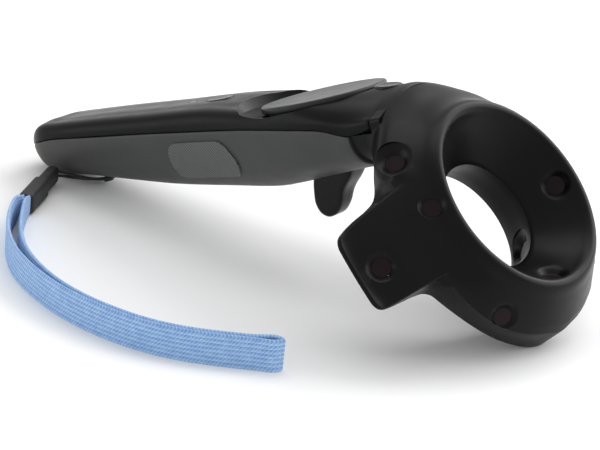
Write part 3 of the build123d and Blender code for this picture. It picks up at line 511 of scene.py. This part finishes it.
# Pad, scoop, buttons and the other places in the covers
pad_centre = 124.7
pad_top = 0.8
pad_radius = 20.6
pad_gap = 0.4
pocket_reach = 10.0
scoop_radius = 30.0
scoop_centre = (121.0, 0, 22.5)
dish_profile = [(0, 0), (22.6, 0), (23.2, 0.1), (24.2, 0.5), (27.5, 2.6), (31, 10), (0, 10)]
dish_drop = 1.5
dish_tilt = -3.2
dish_wall_share = 0.8
button_radius = 4.4
button_gap = 0.25
button_proud = 0.3
menu_forward, menu_height, menu_tilt, menu_depth = 150.9, -0.15, 7.0, 3.0
system_forward, system_height, system_tilt, system_depth = 81.9, 4.35, 2.6, 2.6
light_forward = 70.0
light_height = 4.95
light_radius = 1.35
light_depth = 2.4
hole_edge = 0.35
hole_flare_rise = 0.12
socket_half_width = 3.7
socket_height = 2.7
socket_centre = -0.9
socket_corner = 1.3
socket_gap = 0.15
socket_reach = (-5.0, 0.7, 7.2)


def tilted(forward, height, tilt):
    """Place on the handle, leaning forward by a tilt in degrees."""
    return Matrix.Translation((forward, 0, height)) @ Matrix.Rotation(math.radians(tilt), 4, "Y")


menu_place = tilted(menu_forward, menu_height + button_proud, menu_tilt)
system_place = tilted(system_forward, system_height + button_proud, system_tilt)


def scoop_ball(radius):
    """Large ball over the cover, whose underside scoops out the place behind the pad."""
    bm = bmesh.new()
    bmesh.ops.create_uvsphere(bm, u_segments=96, v_segments=64, radius=radius)
    return moved(bm, Matrix.Translation(scoop_centre))


def hole(radius, low, high):
    """Cutter for a round hole with a softened edge at level zero."""
    soft = edge_steps * hole_edge
    return turned_piece([(0, low), (radius, low), (radius, -hole_edge), (radius + soft, -soft),
                         (radius + hole_edge, hole_flare_rise), (radius + hole_edge, high), (0, high)], 48)


def rounded_section(forward, half_wide, half_tall, middle, corner, steps=6):
    """Closed loop of a rounded oblong that stands across the forward direction."""
    corner = min(corner, half_wide, half_tall)
    loop = []
    for wide_way, tall_way, start in ((1, 1, 0), (-1, 1, 90), (-1, -1, 180), (1, -1, 270)):
        for k in range(steps + 1):
            turn = math.radians(start + 90 * k / steps)
            loop.append(Vector((forward, wide_way * (half_wide - corner) + corner * math.cos(turn),
                                middle + tall_way * (half_tall - corner) + corner * math.sin(turn))))
    return loop + loop[:1]


def socket_opening():
    """Cutter for the charging socket's opening in the tail."""
    return skin([rounded_section(forward, socket_half_width + socket_gap, socket_height / 2 + socket_gap,
                                 socket_centre, socket_corner) for forward in socket_reach])


def pad_dish(lower):
    """Shallow dish round the pad, rising forward, or the same a wall lower."""
    return moved(turned_piece(dish_profile, 96), tilted(pad_centre, -dish_drop - lower, dish_tilt))


def make_top_shell():
    """Black upper cover: hollow, with the scoop, the dish and pocket of the pad and its three holes."""
    room = handle_body("upper", room_first, upper_count, wall, overrun, overrun)
    room = combined(room, scoop_ball(scoop_radius + wall))
    room = combined(room, pad_dish(wall * dish_wall_share))
    shell = combined(handle_body("upper", 0, upper_count), room)
    shell = combined(shell, scoop_ball(scoop_radius))
    shell = combined(shell, pad_dish(0))
    pocket = rod(pad_radius + pad_gap, pocket_reach, 96)
    shell = combined(shell, moved(pocket, Matrix.Translation((pad_centre, 0, pad_top))))
    for place, depth in ((menu_place, menu_depth), (system_place, system_depth)):
        shell = combined(shell, moved(hole(button_radius + button_gap, -depth - overrun, overrun),
                                      place @ Matrix.Translation((0, 0, -button_proud))))
    shell = combined(shell, moved(hole(light_radius, -light_depth, overrun),
                                  Matrix.Translation((light_forward, 0, light_height))))
    shell = combined(shell, socket_opening())
    piece("top_cover", shell, cover_black, ["top_shell"])


make_top_shell()

# Grip buttons and the lower cover
grip_back, grip_front, grip_top, grip_bottom = 70.6, 98.2, 6.6, 18.7
grip_window_gap = 0.5
grip_reaches = (4.0, 12.0, 20.0, 30.0)
grip_corner_steps = 8
grip_rim_proud, grip_rim_wall = 0.1, 2.4
grip_crown_proud, grip_crown_wall, grip_crown_inset = 0.65, 1.0, 0.6
slot_back, slot_front, slot_half_width, slot_low, slot_top = 107.6, 137.6, 7.0, -40, -14
# Corners of the grip button's outline in shares of its box, each with how far its rounding starts from it
grip_corners = [((0.041, -0.029), 3.0), ((0.846, 0.095), 3.6), ((1.013, 0.679), 3.4), ((0.908, 1.066), 2.2),
                ((-0.01, 0.918), 3.2), ((-0.044, 0.353), 3.0)]


def grip_prism(side, grow):
    """Prism out through the side, on the grip button's rounded outline grown all round."""
    middle = Vector(((grip_back + grip_front) / 2, 0, -(grip_top + grip_bottom) / 2))
    corners = []
    for (a, b), _ in grip_corners:
        x = grip_back + a * (grip_front - grip_back)
        z = -grip_top - b * (grip_bottom - grip_top)
        grown_x = x + math.copysign(grow, x - middle.x)
        grown_z = z + math.copysign(grow, z - middle.z)
        corners.append(Vector((grown_x, 0, grown_z)))
    rim = []
    count = len(corners)
    for i, corner in enumerate(corners):
        before, after = corners[i - 1] - corner, corners[(i + 1) % count] - corner
        enter = corner + before.normalized() * min(grip_corners[i][1], before.length / 2)
        leave = corner + after.normalized() * min(grip_corners[i][1], after.length / 2)
        for k in range(grip_corner_steps + 1):
            t = k / grip_corner_steps
            rim.append(enter * (1 - t) ** 2 + corner * 2 * t * (1 - t) + leave * t * t)
    rim.append(rim[0])
    rows = [[p + Vector((0, side * reach, 0)) for p in rim] for reach in grip_reaches]
    return skin(rows)


def make_bottom_shell():
    """Grey lower cover: hollow, with the windows of the grip buttons and the trigger's slot."""
    shell = combined(handle_body("lower", 0, lower_count),
                     handle_body("lower", room_first, lower_count, wall, overrun, overrun))
    for side in (-1, 1):
        shell = combined(shell, grip_prism(side, grip_window_gap))
    shell = combined(shell, block(slot_back, slot_front, -slot_half_width, slot_half_width,
                                  slot_low, slot_top))
    shell = combined(shell, socket_opening())
    piece("lower_cover", shell, cover_grey, ["bottom_shell"])


make_bottom_shell()


def grip_slice(side, proud, thick, grow):
    """Slice of the lower cover's side within the grip button's outline, so far out and so thick."""
    solid = combined(handle_body("lower", 0, lower_count, -proud), grip_prism(side, grow), "INTERSECT")
    return combined(solid, handle_body("lower", room_first, lower_count, thick, overrun, overrun))


def make_grip_button(side, name, body):
    """Grip button: a rim in the cover's window and a raised crown within it."""
    rim = grip_slice(side, grip_rim_proud, grip_rim_wall, 0.0)
    crown = grip_slice(side, grip_crown_proud, grip_crown_wall, -grip_crown_inset)
    piece(name + "_hatched", combined(rim, crown, "UNION"), grip_hatched, [name], body)


make_grip_button(-1, "grip_button_right", "grip_key_right")
make_grip_button(1, "grip_button_left", "grip_key_left")

# Ring head, measured from its crest, in shares of its reach and rise as in the part
ring_forward = 190.8
ring_drop = 39.1
ring_tilt = math.radians(23.2)
skirt_depth = 23.4
barrel_depth = 14.0
ear_reach = 60.5
ear_rise = 13.6
neck_half_width = 21.6
brow_rise = 53.0
crest_radius = 30.8
barrel_radius = 43.0
chin_drop = 42.6
outline_inset = 2.6
ring_axis = Vector((math.cos(ring_tilt), 0, math.sin(ring_tilt)))
ring_up = Vector((-math.sin(ring_tilt), 0, math.cos(ring_tilt)))
crest_centre = Vector((ring_forward, 0, -ring_drop))
outline_runs = [
    ([(0.0, 1.0), (-0.42, 0.97), (-0.78, 0.885), (-0.98, 0.75)], neck_half_width, brow_rise),
    ([(-0.98, 0.75), (-1.02, 0.67), (-1.10, 0.595), (-1.32, 0.485), (-1.48, 0.404)],
     neck_half_width, brow_rise),
    ([(-0.529, 1.57), (-0.575, 1.41), (-0.653, 1.29), (-0.805, 1.15), (-0.926, 1.00)],
     ear_reach, ear_rise),
    ([(-0.926, 1.00), (-0.979, 0.875), (-1.0, 0.647)], ear_reach, ear_rise),
    ([(-1.0, 0.647), (-1.0, -0.632)], ear_reach, ear_rise),
    ([(-1.0, -0.632), (-0.982, -0.83), (-0.936, -0.912)], ear_reach, ear_rise),
    ([(-0.936, -0.912), (-0.793, -0.919), (-0.678, -0.919), (-0.608, -0.956), (-0.562, -1.07)],
     ear_reach, ear_rise),
    ([(-0.798, -0.343), (-0.758, -0.404), (-0.681, -0.521), (-0.577, -0.66), (-0.451, -0.793),
      (-0.305, -0.899), (-0.153, -0.972), (0.0, -1.0)], chin_drop, chin_drop),
]
steps_per_run = [14, 16, 14, 10, 8, 10, 14, 28]


def head_outline():
    """Points of the head's rear outline, all the way round, the last on the first."""
    runs = [[(a * wide, b * tall) for a, b in shares] for shares, wide, tall in outline_runs]
    for before, after in zip(runs, runs[1:]):
        after[0] = before[-1]
    flat = [p for run in runs for p in run[:-1]] + [runs[-1][-1]]
    headings = []
    for i in range(len(flat)):
        before = flat[i - 1] if i else (-flat[1][0], flat[1][1])
        after = flat[i + 1] if i + 1 < len(flat) else (-flat[-2][0], flat[-2][1])
        headings.append((after[0] - before[0], after[1] - before[1]))
    found, place = [], 0
    for k, run in enumerate(runs):
        spans = len(run) - 1
        each = max(2, round(steps_per_run[k] / spans))
        line = smooth_line([(x, y, 0) for x, y in run], (*headings[place], 0),
                           (*headings[place + spans], 0), each)
        found += [(point.x, point.y) for point in line[:-1]]
        place += spans
    found.append(flat[-1])
    mirrored = [(-x, y) for x, y in reversed(found[1:-1])]
    return found + mirrored + found[:1]


def flare_radius(degrees):
    """Radius of the head's smooth flare at the barrel's depth, wider towards the ears and the brow."""
    ear = ear_swell * math.exp(-((degrees - 90) / ear_swell_degrees) ** 2)
    brow = brow_swell * math.exp(-(degrees / brow_swell_degrees) ** 2)
    return barrel_radius + ear + brow


def flare_depth(degrees, radius):
    """Depth at which the flare reaches a radius."""
    middle = flare_radius(degrees)
    if radius < middle:
        return lip_foot[1] + (barrel_depth - lip_foot[1]) * (radius - lip_foot[0]) / (middle - lip_foot[0])
    return barrel_depth + (radius - middle) / ear_flare


def on_ring(x, y, depth):
    """Place at so much left and up of the ring's axis and so deep behind its crest."""
    return crest_centre + Vector((0, x, 0)) + ring_up * y - ring_axis * depth


def on_circle(radius, degrees, depth):
    """Place on a circle round the ring's axis, its angle counted from the brow."""
    turn = math.radians(degrees)
    return on_ring(-radius * math.sin(turn), radius * math.cos(turn), depth)


outline = head_outline()
lip_profile = [(35.1, 3.9), (34.3, 2.75), (33.5, 1.65), (32.6, 0.8), (31.6, 0.35), (30.6, 0.4), (29.7, 1.0),
               (28.9, 2.0), (28.2, 3.0)]
throat_profile = [(18.9, 13.44), (18.2, 14.2), (17.85, 14.9), (17.95, 15.8)]
lip_foot = lip_profile[0]
ear_flare = 1.17
ear_swell, ear_swell_degrees = 6.5, 32
brow_swell, brow_swell_degrees = 4.5, 30
least_edge_radius = 42.0
rim_thickness = 1.3
rim_round = 1.1
rim_steps = [(0.12, 0.55), (0.5, 0.12)]
swept_until = 50.0
rim_from = 66.0
bore_at_skirt = 20.06
skirt_inner_radius = 22.3
bore_inner_radius, bore_inner_depth = 19.9, 15.3
crest_inner_depth = 4.8
rear_inset, rear_step = 0.25, 0.3
rear_rim_profile = [(22.2, 28.15), (21.6, 28.3), (21.25, 27.7)]
rear_inner_radius, rear_inner_depth = 22.9, 25.5


def inset_outline():
    """The head's outline moved in by the wall."""
    moved_points = []
    count = len(outline) - 1
    for i in range(count):
        before, after = outline[i - 1 if i else count - 1], outline[(i + 1) % count]
        run = Vector((after[0] - before[0], after[1] - before[1])).normalized()
        moved_points.append((outline[i][0] - outline_inset * run.y, outline[i][1] + outline_inset * run.x))
    return moved_points + moved_points[:1]


inner_outline = inset_outline()


def wall_place(i):
    """At one place of the outline: its reach, its angle, points at its angle, and the skirt's inner end."""
    x, y = outline[i]
    turn = math.degrees(math.atan2(-x, y))

    def at(radius, depth):
        return on_circle(radius, turn, depth)

    return math.hypot(x, y), abs(turn), at, on_ring(*inner_outline[i], skirt_depth)


def front_wall(i):
    """Loop round the front shell's wall at one place of the outline."""
    out, facing, at, inner_end = wall_place(i)
    edge_radius = max(out, least_edge_radius)
    edge_depth = min(flare_depth(facing, edge_radius), skirt_depth - rim_thickness)
    final = at(out, skirt_depth)
    swell = at(edge_radius, edge_depth + rim_round)
    loop = [final, final + (swell - final) / 3, final + (swell - final) * 2 / 3, swell]
    loop += [at(edge_radius - inward, edge_depth + down) for inward, down in rim_steps]
    inner_radius = edge_radius - rim_round
    for k in range(12):
        radius = inner_radius + (lip_foot[0] - inner_radius) * k / 12
        depth = min(flare_depth(facing, radius), edge_depth - 0.1 * k / 12)
        loop.append(at(radius, depth))
    lip = [at(r, d) for r, d in lip_profile]
    throat = [at(r, d) for r, d in throat_profile]
    middle = at(flare_radius(facing), barrel_depth)
    swept = smooth_line([final, middle, lip[0]], middle - final, lip[1] - lip[0], 9)[:-1]
    share = min(max((facing - swept_until) / (rim_from - swept_until), 0), 1)
    share *= share * (3 - 2 * share)
    loop = [a + (b - a) * share for a, b in zip(swept, loop)]
    loop += smooth_line(lip, lip[1] - lip[0], lip[-1] - lip[-2], 2)
    loop += [lip[-1] + (throat[0] - lip[-1]) * k / 6 for k in range(1, 6)] + throat
    bore = at(bore_at_skirt, skirt_depth)
    loop += [throat[-1] + (bore - throat[-1]) * k / 3 for k in range(1, 4)]
    room_radius = min(flare_radius(facing), edge_radius) - outline_inset
    loop += [at(skirt_inner_radius, skirt_depth), at(bore_inner_radius, bore_inner_depth),
             at(crest_radius, crest_inner_depth), at(room_radius, barrel_depth + 1.0), inner_end, final]
    return loop


def rear_wall(i):
    """Loop round the rear shell's wall at one place of the outline."""
    out, _, at, inner_end = wall_place(i)
    edge = at(out - rear_inset, skirt_depth + rear_step)
    rim = [at(r, d) for r, d in rear_rim_profile]
    loop = [at(out - rear_inset, skirt_depth), edge]
    loop += [edge + (rim[0] - edge) * k / 6 for k in range(1, 6)] + rim
    loop += [at(bore_at_skirt, skirt_depth), at(skirt_inner_radius, skirt_depth),
             at(rear_inner_radius, rear_inner_depth), inner_end, loop[0]]
    return loop


disc_weld = 0.000001


def discs_of(name, way):
    """Centre and outward direction of every window disc in a CAD node, back in the handle's millimetres.

    They are found in the mesh's own order, so that every run gives the same."""
    bm = bmesh.new()
    bm.from_mesh(nodes[name].data)
    bmesh.ops.remove_doubles(bm, verts=bm.verts, dist=disc_weld)
    moved(bm, to_table.inverted())
    left = set(bm.verts)
    found = []
    for start in bm.verts:
        if start not in left:
            continue
        left.remove(start)
        island, queue = [], [start]
        while queue:
            vert = queue.pop()
            island.append(vert)
            for edge in vert.link_edges:
                other = edge.other_vert(vert)
                if other in left:
                    left.remove(other)
                    queue.append(other)
        centre = sum((v.co for v in island), Vector()) / len(island)
        face = max((f for v in island for f in v.link_faces), key=lambda f: f.calc_area())
        normal = face.normal.normalized()
        arm = centre - crest_centre
        outward = arm - ring_axis * arm.dot(ring_axis)
        wanted = {"out": outward, "in": -outward, "back": -ring_axis}[way]
        found.append((centre, normal if normal.dot(wanted) > 0 else -normal))
    bm.free()
    return found


dimple_profile = [(0, -3.6), (3.1, -3.6), (3.1, -1.3), (3.9, -0.62), (4.45, -0.2), (4.9, 0.05),
                  (5.5, 0.28), (6.4, 0.55), (6.4, 2.0), (0, 2.0)]
disc_to_face = 1.75


def dimple_cutters(groups):
    """Conical cutters with soft edges over every window disc of some nodes."""
    tools = bmesh.new()
    for name, way in groups:
        for centre, normal in discs_of(name, way):
            tool = turned_piece(dimple_profile, 40)
            moved(tool, Matrix.Translation(centre + normal * disc_to_face)
                  @ normal.to_track_quat("Z", "Y").to_matrix().to_4x4())
            mesh = bpy.data.meshes.new("dimple")
            tool.to_mesh(mesh)
            tools.from_mesh(mesh)
            bpy.data.meshes.remove(mesh)
            tool.free()
    return tools


parting_gap = 0.2
cover_end_back = 146.0
cover_end_half_width = 30.0
saddle_inset, saddle_lip, saddle_wall, saddle_reach = 0.35, 0.3, 3.2, 4.0
saddle_tall = 40.0


def neck_saddle():
    """Step on the top cover's own section that closes the corner between its front edge and the head."""
    saddle = handle_body("upper", room_first, upper_count, saddle_inset, saddle_lip, saddle_reach)
    saddle = combined(saddle, handle_body("upper", room_first, upper_count, saddle_wall, overrun, overrun))
    ahead = block(handle_length + parting_gap, handle_length + 2 * saddle_reach, -cover_end_half_width,
                  cover_end_half_width, -saddle_tall, saddle_tall)
    return combined(saddle, ahead, "INTERSECT")


def head_shell(wall_loop):
    """Closed shell round the ring from a wall's loop at each place of the outline."""
    loops = [wall_loop(i) for i in range(len(outline))]
    return skin([[loop[k] for loop in loops] for k in range(len(loops[0]))], capped=False)


def make_head(name, shell, groups, stands_for):
    """Finished half of the head: cleared of the top cover's end and dimpled over its windows."""
    shell = combined(shell, block(cover_end_back, handle_length + parting_gap, -cover_end_half_width,
                                  cover_end_half_width, -seam_drop - parting_gap, overrun))
    shell = combined(shell, dimple_cutters(groups))
    piece(name, shell, cover_black, [stands_for])


make_head("head_front", combined(head_shell(front_wall), neck_saddle(), "UNION"),
          [("sensor_windows_outer", "out"), ("sensor_windows_funnel", "in"), ("sensor_windows_bore", "in")],
          "head_front_shell")
make_head("head_rear", head_shell(rear_wall),
          [("sensor_windows_rear", "back"), ("sensor_windows_bore", "in")], "head_rear_shell")

# Pad and round buttons, each turned from a profile of radius and height, with slightly dished faces
pad_profile = [(0, -2.2), (20.3, -2.2), (20.6, -1.9), (20.6, -0.62), (20.5, -0.3), (20.2, -0.08), (19.7, 0.0),
               (18.6, -0.03), (14, -0.18), (8, -0.27), (0, -0.3)]
button_face_profile = [(button_radius, -0.4), (4.28, -0.15), (4.0, 0.0), (3.6, -0.02), (2.2, -0.14),
                       (0, -0.2)]


def make_pad():
    disc = moved(turned_piece(pad_profile, 128), Matrix.Translation((pad_centre, 0, pad_top)))
    piece("pad_disc", disc, pad_satin, ["trackpad_disc"], "touch_pad", 50)


def make_button(name, node, place, depth, body):
    disc = turned_piece([(0, -depth), (button_radius, -depth)] + button_face_profile)
    piece(name, moved(disc, place), button_satin, [node], body, 50)


make_pad()
make_button("menu_cap", "menu_button", menu_place, menu_depth, "menu_key")
make_button("system_cap", "system_button", system_place, system_depth, "system_key")

# Trigger: its profile drawn across, narrower towards the tip and rounded at its sides
pivot_forward = 130.0
pivot_drop = 14.0
trigger_back = 16.3
trigger_drop = 24.8
trigger_half_width = 6.4
trigger_side_room = 0.6
trigger_taper_from = 3.0
trigger_taper = 0.5
trigger_rim_shares = [(0.235, 0.02), (0.25, -0.26), (0.05, -0.50), (-0.25, -0.70), (-0.41, -0.88),
                      (-0.57, -0.975), (-0.79, -1.0), (-0.935, -0.935), (-1.0, -0.81), (-0.965, -0.66),
                      (-0.90, -0.52), (-0.76, -0.33), (-0.46, -0.10), (-0.16, 0.09), (0.09, 0.10)]
# Slices across the trigger: share of its half width, and how far its rounded side has come in there
trigger_slices = [(0.0, 0.0), (0.35, 0.0), (0.7, 0.0), (0.84, 0.15), (0.93, 0.5), (0.985, 1.05), (1.0, 1.6)]
axle_radius, axle_reach = 1.35, 9.0
spring_room_reach, spring_room_wide, spring_room_below, spring_room_above = 7.2, 4.0, 3.6, 7.2


def make_trigger():
    """Curved trigger, with the hole for its pin and the room for its spring."""
    corners = [Vector((pivot_forward + a * trigger_back, 0, -pivot_drop + b * trigger_drop))
               for a, b in trigger_rim_shares]
    slope = corners[1] - corners[-1]
    rim = smooth_line(corners + corners[:1], slope, slope, 5)
    count = len(rim) - 1
    inward = []
    for i in range(count):
        run = (rim[(i + 1) % count] - rim[i - 1 if i else count - 1]).normalized()
        inward.append(Vector((-run.z, 0, run.x)))
    centre = sum(rim[:-1], Vector()) / count
    if sum(n.dot(centre - p) for n, p in zip(inward, rim)) < 0:
        inward = [-n for n in inward]
    rows = []
    for share, inset in [(-a, b) for a, b in reversed(trigger_slices[1:])] + trigger_slices:
        row = []
        for p, n in zip(rim, inward):
            low = min(max((-pivot_drop - trigger_taper_from - p.z) / trigger_drop, 0), 1)
            half = (trigger_half_width - trigger_side_room) * (1 - trigger_taper * low)
            row.append(p + n * inset + Vector((0, share * half, 0)))
        rows.append(row + row[:1])
    bm = skin(rows)
    axle_place = Matrix.Translation((pivot_forward, 0, -pivot_drop)) @ Matrix.Rotation(math.pi / 2, 4, "X")
    bm = combined(bm, moved(rod(axle_radius, axle_reach, 32), axle_place))
    room = block(pivot_forward - spring_room_reach, pivot_forward + spring_room_reach,
                 trigger_half_width - spring_room_wide, trigger_half_width + overrun,
                 -pivot_drop - spring_room_below, -pivot_drop + spring_room_above)
    bm = combined(bm, room)
    piece("trigger_blade", bm, trigger_gloss, ["trigger"], "trigger_lever", 40)


make_trigger()

# Strap: one band, ribbed along its length, doubled into a loop
strap_points = [(30.55, -44.35), (34.6, -51.2), (40.4, -59.6), (47.2, -67.9), (55.2, -76.3), (65.0, -84.2),
                (77.0, -90.8), (90.0, -95.6), (103.0, -98.2), (116.0, -98.7), (127.0, -97.4), (137.5, -93.9),
                (147.0, -88.7), (156.0, -82.6), (162.0, -77.9)]
# How far the two halves of the loop stand apart along the way, in shares of the thickness
strap_spread_shares = [1.25, 1.6, 1.9, 2.0, 1.9, 1.7, 1.5, 1.35, 1.25, 1.2, 1.2, 1.2, 1.2, 1.25, 1.3]
strap_thickness = 1.3
strap_width = 10.0
strap_clearance = 0.1
rib_count = 7
rib_height = 0.3
rib_crest_share = 0.6
steps_per_rib = 8
slow_wander, slow_wander_run = 0.12, 23.0
quick_wander, quick_wander_run = 0.06, 7.3
gather_length = 15.0
gathered_width = 5.2
sleeve_middle = 3.7
tuck_depth = 2.5
sleeve_start = Vector((17.2, -15.2, 0))
sleeve_end = Vector((30.3, -43.8, 0))


def offset_route(points, offsets):
    """A route beside another, at its own distance from each point."""
    moved_points = []
    last = len(points) - 1
    for i, (x, y) in enumerate(points):
        before, after = points[max(i - 1, 0)], points[min(i + 1, last)]
        run = Vector((after[0] - before[0], after[1] - before[1])).normalized()
        moved_points.append((x - offsets[i] * run.y, y + offsets[i] * run.x, 0))
    return moved_points


def strap_line():
    """Line of the band from inside the sleeve round the loop's nose and back."""
    points = [(x + tail_forward, y) for x, y in strap_points]
    halves = [share * strap_thickness - strap_thickness / 2 for share in strap_spread_shares]
    near = offset_route(points, [-h for h in halves])
    far = offset_route(points, halves)
    tip = Vector((points[-1][0] - points[-2][0], points[-1][1] - points[-2][1], 0)).normalized()
    nose = Vector((*points[-1], 0)) + tip * halves[-1]
    route = [Vector(p) for p in near] + [nose] + [Vector(p) for p in reversed(far)]
    into = (sleeve_start - sleeve_end).normalized() * tuck_depth
    mouth = Vector((sleeve_end.x + tail_forward, sleeve_end.y, 0))
    tucked = [mouth + into + (Vector(outer) - mouth) * 0.5 for outer in (near[0], far[0])]
    route = tucked[:1] + route + tucked[1:]
    return smooth_line(route, route[1] - route[0], route[-1] - route[-2], 8)


def make_strap():
    """Ribbed woven band on edge, gathered narrower where it runs into the sleeve."""
    line = strap_line()
    across = rib_count * steps_per_rib
    bm = bmesh.new()
    bmesh.ops.create_grid(bm, x_segments=len(line) - 1, y_segments=across, size=0.5)
    own_map = bm.loops.layers.uv.new("band")
    lengths = [0.0]
    for a, b in zip(line, line[1:]):
        lengths.append(lengths[-1] + (b - a).length)
    for face in bm.faces:
        for corner in face.loops:
            i = round((corner.vert.co.x + 0.5) * (len(line) - 1))
            corner[own_map].uv = ((corner.vert.co.y + 0.5) * strap_width, lengths[i])
    for vert in bm.verts:
        i = round((vert.co.x + 0.5) * (len(line) - 1))
        share = vert.co.y + 0.5
        run = (line[min(i + 1, len(line) - 1)] - line[max(i - 1, 0)]).normalized()
        outward = Vector((run.y, -run.x, 0))
        edge = min(share, 1 - share)
        rib = rib_height * (abs(math.sin(math.pi * rib_count * share)) - rib_crest_share)
        if edge <= 0:
            rib = -rib_height
        wander = slow_wander * math.sin(lengths[i] / slow_wander_run)
        wander += quick_wander * math.sin(lengths[i] / quick_wander_run + share * 3)
        near_end = min(lengths[i], lengths[-1] - lengths[i]) / gather_length
        open_share = min(near_end, 1) ** 2 * (3 - 2 * min(near_end, 1))
        tall = gathered_width + (strap_width - strap_clearance - gathered_width) * open_share
        middle = sleeve_middle + (strap_width / 2 + strap_clearance - sleeve_middle) * open_share
        vert.co = line[i] + outward * (rib + wander) + Vector((0, 0, middle + (share - 0.5) * tall))
    moved(bm, Matrix.Scale(mm, 4))
    strap = shown("wrist_strap_woven", bm)
    strap.data.shade_smooth()
    strap.data.materials.append(strap_woven.material)
    thick = strap.modifiers.new("thickness", "SOLIDIFY")
    thick.thickness = (strap_thickness - rib_height / 2) * mm
    thick.offset = 0
    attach(strap, "wand")
    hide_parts("wrist_strap")


make_strap()

# Rubber sleeve
sleeve_step_share = 0.45
sleeve_corner = 1.25


def make_sleeve():
    """Sleeve on its edge, stepped down to a round-ended cap at the cord's end and open for the strap."""
    run = sleeve_end - sleeve_start
    length = run.length
    step = sleeve_step_share * length
    stages = [(0.0, 1.3, 2.1), (0.25, 1.75, 2.55), (0.8, 2.0, 2.8), (2.0, 2.1, 2.9), (step - 1.4, 2.1, 2.9),
              (step - 0.9, 2.15, 2.95), (step - 0.45, 2.35, 3.2), (step - 0.1, 2.55, 3.42),
              (step + 0.5, 2.6, 3.5), (step + 3.0, 2.6, 3.5), (length - 2.5, 2.6, 3.5),
              (length - 0.8, 2.58, 3.48), (length - 0.25, 2.45, 3.35), (length, 2.2, 3.1), (length, 1.7, 2.9),
              (length - 1.5, 1.65, 2.85)]
    bm = skin([rounded_section(x, thick, tall, sleeve_middle, sleeve_corner) for x, thick, tall in stages])
    place = (Matrix.Scale(mm, 4) @ Matrix.Translation((sleeve_start.x + tail_forward, sleeve_start.y, 0))
             @ Matrix.Rotation(math.atan2(run.y, run.x), 4, "Z"))
    piece("strap_sleeve_rubber", bm, sleeve_rubber, ["strap_sleeve"], "wand", 40, place)


make_sleeve()

# Finishes of the nodes that stay as the frame has them
kept_finishes = [
    (collar_black, ["neck_collar", "strap_anchor"]),
    (lens_milky, ["status_light", "light_pipe"]),
    (board_green, ["trackpad_board", "menu_board", "main_board", "sensor_ring_board"]),
    (switch_dark, ["trackpad_switch", "menu_switch", "system_switch", "grip_switches", "trigger_switch"]),
    (chip_black, ["sensor_chips"]),
    (frame_grey, ["inner_frame", "trackpad_deck", "trigger_bracket"]),
    (steel, ["trigger_pin", "trigger_spring", "board_screws", "head_screws", "usb_port", "haptic_motor"]),
    (cell_wrap, ["battery"]),
    (window_red, ["sensor_windows_outer", "sensor_windows_funnel", "sensor_windows_bore",
                  "sensor_windows_rear"]),
]


def finish_kept_nodes():
    for finish, names in kept_finishes:
        for name in names:
            mesh = nodes[name].data
            if not mesh.materials:
                mesh.materials.append(None)
            for place in range(len(mesh.materials)):
                mesh.materials[place] = finish.material


finish_kept_nodes()


# Floor, world and lamps

def make_floor():
    """Plain white floor that keeps the wand's shadow."""
    bm = bmesh.new()
    bmesh.ops.create_grid(bm, x_segments=1, y_segments=1, size=4)
    floor = shown("floor", bm)
    paint = Finish("floor_white", Base_Color=(0.94, 0.94, 0.94, 1), Roughness=0.9, Specular_IOR_Level=0.1)
    floor.data.materials.append(paint.material)


def make_world():
    """Soft even light, and white for the camera and for what gloss and glass show."""
    world = bpy.data.worlds.new("studio")
    world.use_nodes = True
    scene.world = world
    tree = world.node_tree
    tree.nodes.clear()
    out = tree.nodes.new("ShaderNodeOutputWorld")
    mix = tree.nodes.new("ShaderNodeMixShader")
    path = tree.nodes.new("ShaderNodeLightPath")
    soft, white = tree.nodes.new("ShaderNodeBackground"), tree.nodes.new("ShaderNodeBackground")
    soft.inputs["Strength"].default_value = 0.8
    white.inputs["Strength"].default_value = 1.0
    seen = path.outputs["Is Camera Ray"]
    for ray in ("Is Glossy Ray", "Is Transmission Ray"):
        either = tree.nodes.new("ShaderNodeMath")
        either.operation = "MAXIMUM"
        tree.links.new(seen, either.inputs[0])
        tree.links.new(path.outputs[ray], either.inputs[1])
        seen = either.outputs[0]
    tree.links.new(seen, mix.inputs[0])
    tree.links.new(soft.outputs[0], mix.inputs[1])
    tree.links.new(white.outputs[0], mix.inputs[2])
    tree.links.new(mix.outputs[0], out.inputs["Surface"])


def lamp(name, place, aim, wide, tall, power):
    """Rectangular softbox at a place in metres, aimed at another."""
    light = bpy.data.lights.new(name, "AREA")
    light.shape = "RECTANGLE"
    light.size, light.size_y = wide, tall
    light.energy = power
    holder = bpy.data.objects.new(name, light)
    holder.location = place
    holder.rotation_euler = (Vector(aim) - Vector(place)).to_track_quat("-Z", "Y").to_euler()
    scene.collection.objects.link(holder)


make_floor()
make_world()
lamp("top_softbox", (-0.2, 0.3, 1.0), (0, 0, 0.03), 0.9, 0.5, 3)
lamp("back_softbox", (0.5, 1.0, 0.75), (0.06, 0, 0.04), 2.0, 1.15, 21)
lamp("front_softbox", (-0.85, -0.9, 0.3), (0, 0, 0.03), 0.9, 0.4, 2.5)

scene.view_settings.view_transform = "Standard"
